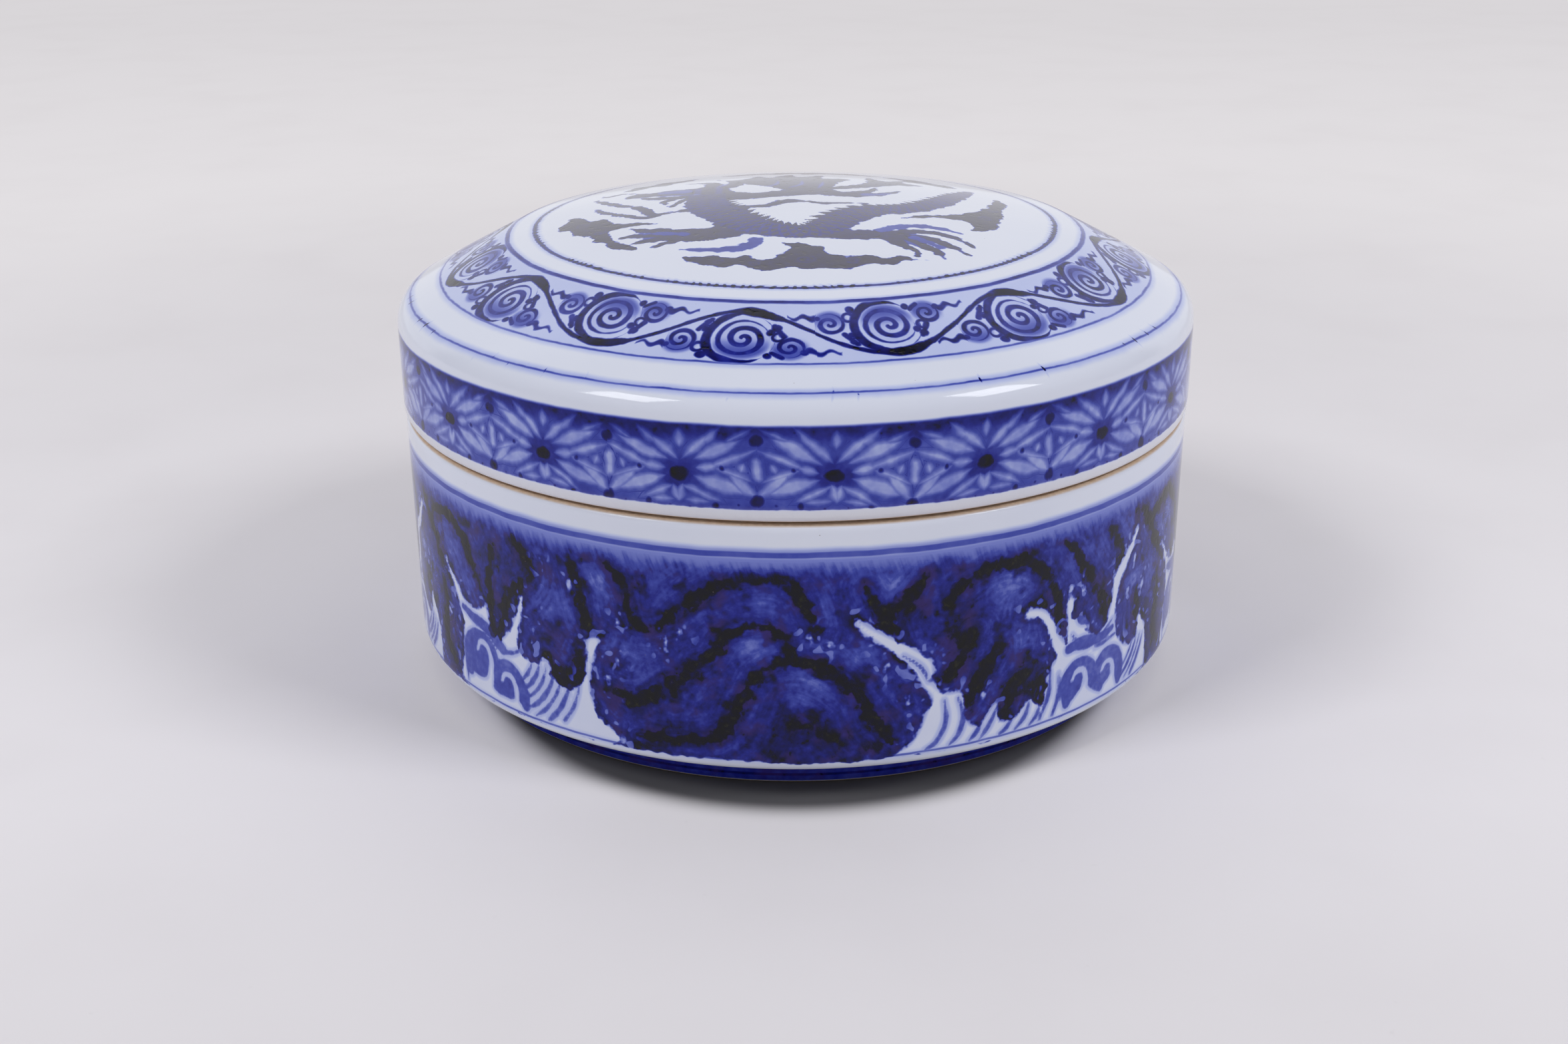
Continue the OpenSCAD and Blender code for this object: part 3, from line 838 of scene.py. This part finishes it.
def plugHeight(tree, height, shader):
    # Relief in millimetres
    bump = tree.nodes.new("ShaderNodeBump")
    bump.inputs["Distance"].default_value = mm
    plug(tree, height, bump.inputs["Height"])
    tree.links.new(bump.outputs["Normal"], shader.inputs["Normal"])


def makeMaterial(name, roughness, build):
    material = bpy.data.materials.new(name)
    material.use_nodes = True
    shader = material.node_tree.nodes["Principled BSDF"]
    shader.inputs["Roughness"].default_value = roughness
    build(material.node_tree, shader)
    return material


# Where a point lies on the pot, with a little of the brush's unsteadiness

def potPlace(tree):
    x, y, z = [part * (1 / mm) for part in splitUp(tree, "Object")]
    angle = x.sum("ARCTAN2", y * -1) * math.degrees(1)
    return angle, length(x, y), z, grain(tree, 7), grain(tree, 1.6, seed=4.2)


potPlaceGroup = makeGroup("pot place", [], [("Angle", "Float"), ("Radius", "Float"), ("Height", "Float"),
                                            ("Slow Stray", "Float"), ("Quick Stray", "Float")], potPlace)

# Cobalt painting under a clear glaze. Density runs from 0, bare white, to 1.2, heaped and almost black.
cobalt = {
    "top": 1.2,
    "stops": [(0, (215, 219, 232)), (0.1, (182, 191, 228)), (0.24, (116, 127, 200)), (0.4, (56, 68, 164)),
              (0.53, (25, 32, 132)), (0.66, (13, 17, 92)), (0.78, (9, 10, 52)), (0.88, (9, 9, 26)),
              (1, (13, 13, 14))],
    "violet": (50, 34, 96), "olive": (46, 46, 30),
}
glaze = {
    "ior": 1.42, "shine": 0.36, "polished": 0.07, "overCobalt": 0.13, "bareRoughness": 0.72,
    # glareGrey is a painted reflection: the grey blended over the dragon in place of the glaze's sheen
    "tone": (150, 165, 205), "iron": (96, 86, 84), "glareGrey": (122, 118, 136),
    "bare": (206, 186, 166), "toasted": (192, 166, 142),
    "waves": 0.004, "peel": 0.0012, "heaped": 0.02, "bareSunk": 0.03,  # relief in millimetres
}


def glazedPot(tree, density, bare, mottle):
    broad = grain(tree, 26, 2, 1.7)
    heap = grain(tree, 1.15, 2, 3.3)
    thick = density.ramp(0.35, 0.8)
    dense = (density + heap * thick * 0.1 + heap.ramp(0.3, 0.7) * density.ramp(0.6, 0.9) * 0.2).most(0)
    colour = ramped(tree, dense / cobalt["top"], cobalt["stops"])
    violet = grain(tree, 3.6, 3, 21.4).ramp(-0.1, 0.6) * dense.ramp(0.52, 0.7) * dense.ramp(1.0, 0.85)
    colour = blend(tree, violet * mottle * 0.7, colour, tint(*cobalt["violet"]))
    olive = grain(tree, 0.9, 2, 15.2).ramp(0.1, 0.8) * dense.ramp(1.04, 1.18)
    colour = blend(tree, olive * mottle * 0.7, colour, tint(*cobalt["olive"]))
    toned = blend(tree, broad.ramp(-1, 1, 0, 0.08) * dense.ramp(0.8, 0.2), colour, tint(*glaze["tone"]))
    iron = grain(tree, 0.55, 1, 9.1).ramp(1.0, 1.1) * 0.5
    speckled = blend(tree, iron, toned, tint(*glaze["iron"]))
    clay = blend(tree, grain(tree, 0.8, 3, 5.5).ramp(-1, 1), tint(*glaze["bare"]), tint(*glaze["toasted"]))
    surface = blend(tree, bare, speckled, clay)
    pitted = grain(tree, 0.35, 2, 6.1)
    polish = dense.ramp(0.95, 1.2, glaze["polished"], glaze["overCobalt"]) + broad * 0.01
    roughness = blend(tree, bare, polish, glaze["bareRoughness"], "FLOAT")
    height = grain(tree, 4.2, 1, 2.2) * glaze["waves"] + grain(tree, 1.3, 1, 7.7) * glaze["peel"]
    height = height - dense.ramp(0.9, 1.15) * heap.ramp(0, 1) * glaze["heaped"]
    height = height + bare * (pitted * 0.02 - glaze["bareSunk"])
    return surface, roughness, height


glazedPotGroup = makeGroup("glazed pot", [("Density", "Float"), ("Bare", "Float"), ("Mottle", "Float")],
                           [("Color", "Color"), ("Roughness", "Float"), ("Height", "Float")], glazedPot)


def finishPot(tree, shader, density, bare, mottle, paintedGlare=None):
    colour, roughness, height = useGroup(tree, glazedPotGroup, density, bare, mottle)
    # Painted reflection: a grey sheen blended over the colour where paintedGlare is given
    if paintedGlare:
        colour = blend(tree, paintedGlare, colour, tint(*glaze["glareGrey"]))
    plug(tree, colour, shader.inputs["Base Color"])
    plug(tree, roughness, shader.inputs["Roughness"])
    plugHeight(tree, height, shader)
    shader.inputs["IOR"].default_value = glaze["ior"]
    shader.inputs["Specular IOR Level"].default_value = glaze["shine"]


# A painted line round the pot, at one radius or one height

def ringLine(place, at, half, soft=0.16):
    return ((place - at).size() - half).inside(soft)


# The scroll on the lid's shoulder: a wavy stem with a large spiral and two small ones in every bend

scroll = {
    "bend": 22.5, "start": -8.2, "rise": 4.1,  # degrees in a bend, where one lies, the stem's rise
    "scale": 0.8465, "lean": 0.887,  # millimetres in a degree, and the shoulder's slope seen from above
    "middle": 48.6, "inner": 43.7, "outer": 53.4,  # radii
    "spirals": [  # across, up, size, pitch, half of the line
        (0.3, -1.0, 3.5, 1.6, 0.45), (-7.6, -1.7, 2.1, 1.25, 0.38), (6.3, -2.6, 1.9, 1.2, 0.38),
    ],
    "arc": (0.1, -0.9, 4.5, 0.62),  # across, up, size, half at its thickest
    "blobs": [(4.6, 1, 0.7), (3.9, 0.2, 0.6), (-4.9, 0.5, 0.55), (-4.4, -4.2, 0.7), (3.6, -4.1, 0.6),
              (-9.2, -2.8, 0.5), (8, -3.5, 0.6)],
    "rings": [(-5.0, -2.8, 0.75, 0.27), (4.9, -0.6, 0.7, 0.25), (-4.6, 1.6, 0.55, 0.22)],
    "tails": [  # from, to, up, swing, step, half
        (8.0, 12.4, -3.5, 0.34, 2.5, 0.42), (-9.4, -13.2, -2.9, 0.32, -2.3, 0.42),
    ],
    "links": [(-4.4, 2.2, -5.8, 0.3, 0.42), (4.3, 1.4, 5.6, -0.6, 0.4), (4.2, -3.6, 5.4, -4.4, 0.4)],
}


def spiralGap(across, up, spot):
    x, y, size, pitch, half = spot
    out = length(across - x, up - y)
    turn = (up - y).sum("ARCTAN2", across - x) * (1 / (2 * math.pi))
    wound = (out / pitch + turn).sum("FRACT")
    return ((wound - 0.5).size() * pitch - half).most(out - size), out - size


def barGap(across, up, bar):
    ax, ay, bx, by, half = bar
    dx, dy = bx - ax, by - ay
    size = dx * dx + dy * dy
    t = ((across - ax) * (dx / size) + (up - ay) * (dy / size)).held()
    return length(across - ax - t * dx, up - ay - t * dy) - half


def tailGap(across, up, tail):
    start, end, level, swing, step, half = tail
    wave = ((across - start) * (2 * math.pi / step)).sum("SINE") * swing
    taper = (across - end).size().ramp(0, abs(end - start), 0.15, half)
    inside = (across - (start + end) / 2).size() - abs(end - start) / 2
    return most((up - level - wave).size() * 0.7 - taper, inside)


def scrollBand(angle, radius, slow, quick):
    s = scroll
    turned = angle - s["start"]
    cell = (turned / s["bend"]).sum("ROUND")
    across = (turned - cell * s["bend"]) * s["scale"] + slow * 0.2
    flip = (cell * 0.5).sum("FRACT").sum("GREATER_THAN", 0.25).sum("MULTIPLY_ADD", -2, 1)
    straightUp = (s["middle"] - radius) / s["lean"]
    up = straightUp * flip + slow * 0.14
    wave = (across * (math.pi / (s["bend"] * s["scale"]))).sum("COSINE") * s["rise"]
    rough = quick * 0.13
    swell = (across - 1.9 + quick * 0.5).size().ramp(4.2, 0.8, 0.34, 0.72)
    stem = (up - wave).size() * 0.86 - swell
    spirals = [spiralGap(across, up, spot) for spot in s["spirals"]]
    coils = least(*[gap for gap, edge in spirals])
    outer = least(*[edge for gap, edge in spirals])
    x, y, size, thick = s["arc"]
    taper = (across + (up - y) * 0.25 + quick * 0.4).ramp(2.6, -2.4, 0, thick)
    rim = (length(across - x, up - y) - size).size() - taper
    blobs = least(*[length(across - x, up - y) - size for x, y, size in s["blobs"]])
    rings = least(*[(length(across - x, up - y) - size).size() - half for x, y, size, half in s["rings"]])
    links = least(*[barGap(across, up, bar) for bar in s["links"]])
    # A tail may reach into the next bend, where everything hangs the other way up
    beyond = across.sum("SIGN") * (-s["bend"] * s["scale"]) + across
    turns = ((across, up), (beyond, up * -1))
    tails = least(*[tailGap(x, y, tail) for x, y in turns for tail in s["tails"]])
    sprigs = least(rings, links, tails)
    lines = (least(stem, coils, rim, blobs, sprigs) + rough).inside(0.2)
    low = up.ramp(-0.4, -3.4) * (outer - 0.3).inside(0.5)
    wash = (outer + rough).inside(0.3) * 0.04 + low * 0.3
    heavy = least(stem, rim).inside(0.3) * swell.ramp(0.4, 0.7, 0.06, 0.2)
    dark = 0.73 + slow * 0.12 + quick * 0.12 + stem.inside(0.3) * 0.06 + heavy - low * 0.06
    ground = 0.115 + slow * 0.015
    within = (radius - s["inner"]).ramp(-0.4, 0.3) * (radius - s["outer"]).ramp(0.35, -0.2)
    return most(ground, ground + wash, lines * dark) * within


# The flower diaper round the lid's side: pale petals left in a blue ground

diaper = {
    "cell": 360 / 19, "scale": 1.049, "start": 4.9, "middle": 47.4, "low": 42.8, "high": 53.9,
    "petals": [  # across, up, turn in degrees, half length, half width
        (5.3, -1.7, -20, 3.2, 0.84), (3, -2.7, -27, 2.2, 0.38), (6.9, -0.4, -22, 2.2, 0.32),
        (8, -1.8, -40, 2.3, 0.66), (5, 3.1, 23, 3.2, 0.76), (6.7, 1.8, 20, 3, 0.42),
        (2.1, 3.5, 42, 2.1, 0.52), (4, 4.9, 40, 1.6, 0.44), (3.5, 0.7, 8, 1.3, 0.5),
        (0, 4.7, 88, 1.1, 0.5), (0.3, -2.6, 74, 1.1, 0.5), (2.4, -3.7, -6, 1.3, 0.3),
        (8.0, 0.5, 66, 0.6, 0.32), (7.6, 4.9, 26, 1.6, 0.3),
    ],
    "bars": [(9.94, -0.8, 9.94, 1.3, 0.5)],
    "dots": [(9.94, 4.2, 1), (9.94, -4, 0.95), (5.4, 5.4, 0.4), (4.6, -4.4, 0.6), (1.4, -4.5, 0.3),
             (7.6, -4.4, 0.3), (5.4, 0.5, 0.4)],
    "veins": [(9.94, 3.4, 8.9, 0.8, 0.2), (8.9, 0.8, 9.94, -2.6, 0.2)],
}


def petalGap(across, up, petal):
    x, y, turn, half, wide = petal
    c, s = math.cos(math.radians(turn)), math.sin(math.radians(turn))
    along = ((across - x) * c + (up - y) * s) / half
    beside = ((up - y) * c - (across - x) * s).size()
    return beside - (1 - along * along) * wide


def diaperBand(angle, height, slow, quick):
    d = diaper
    turned = angle - d["start"]
    cell = (turned / d["cell"]).sum("ROUND")
    side = (turned - cell * d["cell"]) * d["scale"] + slow * 0.5
    across = side.size()
    sway = (cell * 2.4 + (side.sum("SIGN"))).sum("SINE")
    up = height - d["middle"] + slow * 0.4 + sway * across * 0.06
    rough = quick * 0.1
    petals = least(*[petalGap(across, up, petal) for petal in d["petals"]])
    bars = least(*[barGap(across, up, bar) for bar in d["bars"]])
    pale = least(petals, bars) + rough
    veins = least(*[barGap(across, up, bar) for bar in d["veins"]]) + rough
    dots = least(*[length(across - x, up - y) - size for x, y, size in d["dots"]]) + rough
    heart = length(across / 1.3, up)
    outline = ((pale - 0.62).size() - 0.16).inside(0.3)
    top = up.ramp(3.8, 6.0)
    ground = 0.5 + slow * 0.07 + quick * 0.07 + top * 0.26 + heart.ramp(3.2, 1.0) * 0.14
    shadow = most(ground, outline * (0.68 + top * 0.14), veins.inside(0.35) * 0.66)
    petal = pale.ramp(-0.4, 0.25, 0.24, 0.44) + slow * 0.05 + quick * 0.05 + top * 0.2
    density = blend(slow.tree, pale.ramp(0.45, 0.1), shadow, petal, "FLOAT")
    density = most(density, (heart - 1.08 + rough * 2.2).inside(0.5) * 1.02)
    density = most(density, dots.inside(0.5) * (0.86 + slow * 0.1))
    above = (height - d["low"] + rough).ramp(-0.16, 0.12)
    below = (height - d["high"] + slow * 0.12).ramp(0.4, -0.3)
    return density * above * below


def softLine(place, at, half, density, halo=0.13):
    # A brushed ring: a core of this density, with its edges bled into the glaze
    bled = (place - at).size().ramp(half + 0.9, half) * halo
    return most(ringLine(place, at, half, 0.2) * density, bled)


# Radii of the rings on the lid, and the bare body at its lip: heights between which the glaze gives out
lidLines = {
    "beaded": 39.2, "panel": 43.3, "shoulder": 53.5, "rim": 58.1,
    "lip": (41.3, 41.1), "lipWash": (43.4, 41.6), "skirt": (58, 59),
}


def lidGlaze(tree, shader):
    at = lidLines
    angle, radius, height, slow, quick = useGroup(tree, potPlaceGroup)
    rough = quick * 0.3 + slow * 0.16
    ragged = rough + grain(tree, 1.7, 2, 4.4) * 0.5
    ink, cloud, pale = [(kept(tree, name) + ragged).inside(0.2) for name in ("ink", "cloud", "pale")]
    left = (kept(tree, "left") + quick * 0.12).inside(0.2)
    run, side = kept(tree, "run"), kept(tree, "side")
    net = least(*[((run / 1.5 + side * lean).sum("FRACT") - 0.5).size() for lean in (0.9, -0.9)])
    scales = net.ramp(0.1, 0.22, 1, 0) * (side.size() - 0.95).inside(0.05)
    body = ink * (0.88 + slow * 0.07 - scales * 0.24 - left * 0.42)
    sky = cloud * (0.96 + slow * 0.06 - left * 0.2)
    roundel = most(blend(tree, pale, body, 0.5 + slow * 0.08, "FLOAT"), sky)
    stray = radius + slow * 0.13 + quick * 0.05
    faint = 0.5 + slow * 0.14 + quick * 0.06
    beads = ((angle * 0.52 + slow * 1.4).sum("FRACT") - 0.5).size().ramp(0.3, 0.1)
    beads = beads * (slow + quick * 0.5).ramp(-0.5, 0.4)
    dots = ((angle * 0.31 + slow * 0.3).sum("FRACT") - 0.5).size().ramp(0.06, 0.02)
    dots = dots * (slow * 1.5 + quick * 0.4).ramp(0.25, 0.5)
    rings = most(
        softLine(stray + beads * 0.1, at["beaded"], 0.3 + beads * 0.14, 0.74 + beads * 0.3),
        softLine(stray, at["panel"], 0.34, faint + 0.1),
        softLine(stray, at["shoulder"], 0.17, faint),
        softLine(stray, at["rim"], 0.16 + dots * 0.26, faint + dots * 0.6, 0.16),
    )
    rings = rings * height.ramp(54.5, 55)
    shoulder = scrollBand(angle, radius, slow, quick) * height.ramp(57, 57.5)
    sides = diaperBand(angle, height, slow, quick) * radius.ramp(58.5, 59)
    outerFace = kept(tree, "outer")
    density = most(roundel, shoulder, rings, sides) * outerFace
    lip = height.ramp(*at["lip"]) * (0.85 + quick * 0.2)
    lip = most(lip, height.ramp(*at["lipWash"]) * radius.ramp(*at["skirt"]) * 0.2)
    # Painted reflection: a grey sheen over the dense ink of the dragon and clouds, in place of the glaze's
    # glare
    paintedGlare = roundel.ramp(0.4, 0.9) * outerFace * (0.3 + slow * 0.06)
    finishPot(tree, shader, density, lip.held(), 0.12, paintedGlare)


def streaks(tree, across, first, second, fine, long, seed):
    # Bristle marks that run along the contours
    place = tree.nodes.new("ShaderNodeCombineXYZ")
    for slot, wire in zip(place.inputs, (across / fine + seed, first / long, second / long)):
        plug(tree, wire, slot)
    return noiseAt(tree, place.outputs[0], 2.5)


# Heights of the lines on the wall and the foot, and where the body is bare
baseLines = {
    "top": 36.5, "low": 6.75, "foot": [(2.8, 0.4), (1.4, 0.3)], "footOut": (54.0, 54.15),
    "footMiddle": 54.4,
    "bandTop": (36.2, 35.4), "bandLow": 6.35,
    "seat": (40.2, 40.5), "seatIn": (54.2, 54.6), "rimTop": (46.3, 46.2), "footEdge": (0.4, 0.2),
}


def baseGlaze(tree, shader):
    at = baseLines
    angle, radius, height, slow, quick = useGroup(tree, potPlaceGroup)
    foam, wave, contour, shade = [kept(tree, name) for name in ("foam", "wave", "contour", "shade")]
    outside = radius.ramp(57.5, 58) * (height - 40.4).inside(0.1)
    rough = quick * 0.22 + slow * 0.14
    round = angle * wallScale
    bristle = streaks(tree, contour, round, height, 0.75, 5, 3)
    broad = streaks(tree, contour, round, height, 2.2, 9, 11)
    fleck = grain(tree, 0.9, 2, 8.8)
    water = (foam + rough + grain(tree, 1.5, 2, 16.3) * 0.62).inside(0.28)
    patch = grain(tree, 3.4, 2, 12.1)
    body = 0.66 + shade + bristle * 0.11 + broad * 0.11 + fleck * 0.1
    body = body + patch * 0.06 + patch.ramp(0.15, 0.7) * 0.24
    shore = foam.ramp(1.0, 0.15) * 0.1
    blot = grain(tree, 1.9, 2, 18.6)
    line = (contour + 0.1 + rough * 1.3 + fleck * 0.3 + blot * 0.95).inside(0.35)
    line = line * (1 - (bristle + blot).ramp(0.5, 1.3) * 0.5)
    near = contour.ramp(1.4, 0.3) * 0.1
    rock = blend(tree, line, (body + shore + near).most(0.34), 1.1 + fleck * 0.1, "FLOAT")
    spray = grain(tree, 1.25, 0, 5.1).ramp(0.45, 0.7) * foam.ramp(3.4, 0.8)
    rock = blend(tree, spray * 0.75, rock, 0.26, "FLOAT")
    rain = streaks(tree, round + height * 0.35, height, round, 0.8, 7, 5)
    fade = (height + slow * 0.5 + rain * 0.9).ramp(32.8, 36.0)
    rock = blend(tree, fade, rock, 0.3 + rain * 0.04, "FLOAT")
    painted = (wave + rough * 0.6).inside(0.26) * (0.47 + slow * 0.1 + fleck * 0.06)
    sea = most(painted, foam.ramp(-0.7, 0.0) * 0.2, wave.ramp(0.8, 0.1) * 0.16, 0.04 + slow * 0.02)
    band = blend(tree, water, rock, sea, "FLOAT")
    bottom = (height - at["bandLow"] - slow * 0.35 - quick * 0.3).ramp(-0.15, 0.2)
    band = band * bottom * height.ramp(*at["bandTop"])
    stray = height + slow * 0.14
    topLine = softLine(stray, at["top"], 0.46, 0.47 + slow * 0.05, 0.24)
    lowLine = softLine(stray, at["low"], 0.18, 0.44 + slow * 0.1, 0.1)
    wall = most(band, topLine, lowLine, (height - 34.8).size().ramp(2.4, 0.8) * 0.3) * outside
    footLines = most(*[ringLine(height, place, half, 0.2) for place, half in at["foot"]]) * 0.8
    # Painted shade: a dark wash over the foot's outer face, in place of the shadow under the overhanging
    # wall
    footShade = height.ramp(3.5, 3.2) * 0.62
    foot = most(footLines, footShade) * radius.ramp(*at["footOut"]) * (radius - at["footMiddle"]).inside(0.1)
    seat = height.ramp(*at["seat"]) * radius.ramp(*at["seatIn"]) * height.ramp(*at["rimTop"])
    bare = most(seat, height.ramp(*at["footEdge"])).held()
    finishPot(tree, shader, most(wall, foot), bare, 1)


cinnabar = {"deep": (150, 18, 12), "bright": (196, 34, 18), "dark": (120, 10, 9), "oily": 0.3, "dry": 0.52}


def pasteFinish(tree, shader):
    broad = grain(tree, 11, 3, 2.4)
    fine = grain(tree, 0.9, 3, 5.1)
    fibre = grain(tree, 2.4, 2, 7.3, (1, 0.16, 1))
    oily = grain(tree, 5.5, 2, 1.1).ramp(0.1, 0.9)
    red = blend(tree, broad.ramp(-1, 1), tint(*cinnabar["deep"]), tint(*cinnabar["bright"]))
    colour = blend(tree, fine.ramp(0.2, 1.1) * 0.4, red, tint(*cinnabar["dark"]))
    plug(tree, colour, shader.inputs["Base Color"])
    roughness = blend(tree, oily, cinnabar["dry"] + fine * 0.06, cinnabar["oily"], "FLOAT")
    plug(tree, roughness, shader.inputs["Roughness"])
    plugHeight(tree, fine * 0.09 + fibre.ramp(0.5, 0.9) * 0.12, shader)


def markOuter(shell):
    places = placesOf(shell)
    radius = np.hypot(places[:, 0], places[:, 1])
    p = lid
    panel = p["domeCentre"] + np.sqrt(p["domeSize"] ** 2 - np.minimum(radius, p["panelRadius"]) ** 2)
    slope = math.tan(math.radians(p["shoulderSlope"]))
    skin = panel - np.maximum(radius - p["panelRadius"], 0) * slope
    keepValues(shell, "outer", (places[:, 2] > skin - 2) | (radius > p["skirtRadius"] + 1.5))


markOuter(lidShell)
lidShell.data.materials.append(makeMaterial("lid glaze", 0.1, lidGlaze))
baseShell.data.materials.append(makeMaterial("base glaze", 0.1, baseGlaze))
pasteMound.data.materials.append(makeMaterial("cinnabar paste", 0.5, pasteFinish))
print("glazed and painted")

# The studio: a pale table that runs off into the background, and two soft lamps in front. The pool is a
# painted shadow: a darker patch in the table's colour where the box stands. The table's colour also holds
# painted light, lightest just in front of the box and darker towards the camera and far behind it.
# Lengths in metres.
studio = {
    "table": [(-0.2, (214, 211, 214)), (-0.06, (234, 231, 234)), (0.24, (228, 225, 228)),
              (0.8, (217, 214, 217))],
    "plainFrom": 0.16, "plainTo": 0.42,
    "cloudy": (196, 190, 192), "specks": (160, 152, 152),
    "sky": (217, 214, 217), "air": (248, 248, 252),
    "behind": 0.8, "front": 2.7,  # light on the box from behind and above, and from low all round
    "seenBehind": 1.75, "seenBefore": 0.05,  # what its glaze mirrors
    "pool": 0.0145, "poolFrom": 0.0448, "poolTo": 0.0516, "paintedShadowColour": (30, 30, 36),
    "lamps": [(-56, 46, 8.4), (66, 43, 8.6)], "lampAway": 1.6, "lampSize": 0.5,  # lamps: turn, rise, power
}


def rayIs(tree, *kinds):
    path = tree.nodes.new("ShaderNodeLightPath")
    return most(*[Wire(tree, path.outputs["Is " + kind + " Ray"]) for kind in kinds])


def makeFloor():
    bm = bmesh.new()
    bmesh.ops.create_grid(bm, x_segments=1, y_segments=1, size=6)
    floor = thingOf(bm, "floor")

    def build(tree, shader):
        x, y, z = splitUp(tree, "Object")
        # Painted light: the table is lightest just in front of the box and darker towards the camera and
        # far behind
        marks = studio["table"]
        start, end = marks[0][0], marks[-1][0]
        stops = [((place - start) / (end - start), colour) for place, colour in marks]
        colour = ramped(tree, (y - start) / (end - start), stops)
        cloudy = grain(tree, 38, 4, 3.0).ramp(-0.4, 1.2) * 0.1
        colour = blend(tree, cloudy, colour, tint(*studio["cloudy"]))
        specks = grain(tree, 2.2, 3, 8.5).ramp(0.7, 1.3) * 0.12
        colour = blend(tree, specks, colour, tint(*studio["specks"]))
        # Painted shadow: the table's colour darkens towards where the box stands
        pool = length(x, y + studio["pool"]).ramp(studio["poolTo"], studio["poolFrom"])
        colour = blend(tree, pool * pool * 0.9, colour, tint(*studio["paintedShadowColour"]))
        plug(tree, colour, shader.inputs["Base Color"])
        shader.inputs["Specular IOR Level"].default_value = 0.1
        plain = tree.nodes.new("ShaderNodeEmission")
        plug(tree, colour, plain.inputs["Color"])
        mix = tree.nodes.new("ShaderNodeMixShader")
        away = length(x, y).ramp(studio["plainFrom"], studio["plainTo"])
        plug(tree, away * rayIs(tree, "Camera", "Glossy", "Transmission"), mix.inputs[0])
        tree.links.new(shader.outputs[0], mix.inputs[1])
        tree.links.new(plain.outputs[0], mix.inputs[2])
        tree.links.new(mix.outputs[0], tree.nodes["Material Output"].inputs["Surface"])

    floor.data.materials.append(makeMaterial("table", 0.75, build))


def makeLamp(name, turn, rise, power):
    around, up = math.radians(turn), math.radians(rise)
    place = Vector((math.sin(around) * math.cos(up), -math.cos(around) * math.cos(up), math.sin(up)))
    light = bpy.data.lights.new(name, "AREA")
    light.size = studio["lampSize"]
    light.energy = power
    lamp = bpy.data.objects.new(name, light)
    lamp.location = place * studio["lampAway"]
    lamp.rotation_euler = place.to_track_quat("Z", "Y").to_euler()
    bpy.context.scene.collection.objects.link(lamp)


def makeWorld():
    world = bpy.data.worlds.new("studio")
    bpy.context.scene.world = world
    world.use_nodes = True
    tree = world.node_tree
    sky = tree.nodes["Background"]
    x, y, z = splitUp(tree, "Generated")
    light = (z * 0.8 + y * 0.6).ramp(0.2, 1.0, 0, studio["behind"])
    light = light + z.ramp(0.1, 0.45, studio["front"], 0)
    mirrored = y.ramp(0.35, 0.7, studio["seenBefore"], studio["seenBehind"])
    level = blend(tree, rayIs(tree, "Glossy", "Transmission"), light, mirrored, "FLOAT")
    dim = blend(tree, level, (0, 0, 0, 1), tint(*studio["air"]))
    plug(tree, blend(tree, rayIs(tree, "Camera"), dim, tint(*studio["sky"])), sky.inputs["Color"])


makeFloor()
for count, lamp in enumerate(studio["lamps"]):
    makeLamp("lamp" + str(count + 1), *lamp)
makeWorld()
print("table, lamps and world set")

# The photograph's view, from a fit to the rings and the mouth line
camera = {
    "place": (0, -0.27955, 0.12887), "turn": (68.22, 0.37, 0.25),
    "lens": 42.8, "sensor": 36, "nearest": 0.01,
}
cam = bpy.data.objects.new("camera", bpy.data.cameras.new("camera"))
cam.location = camera["place"]
cam.rotation_euler = [math.radians(a) for a in camera["turn"]]
cam.data.lens = camera["lens"]
cam.data.sensor_width = camera["sensor"]
cam.data.clip_start = camera["nearest"]
bpy.context.scene.collection.objects.link(cam)
bpy.context.scene.camera = cam
bpy.context.scene.view_settings.view_transform = "Standard"
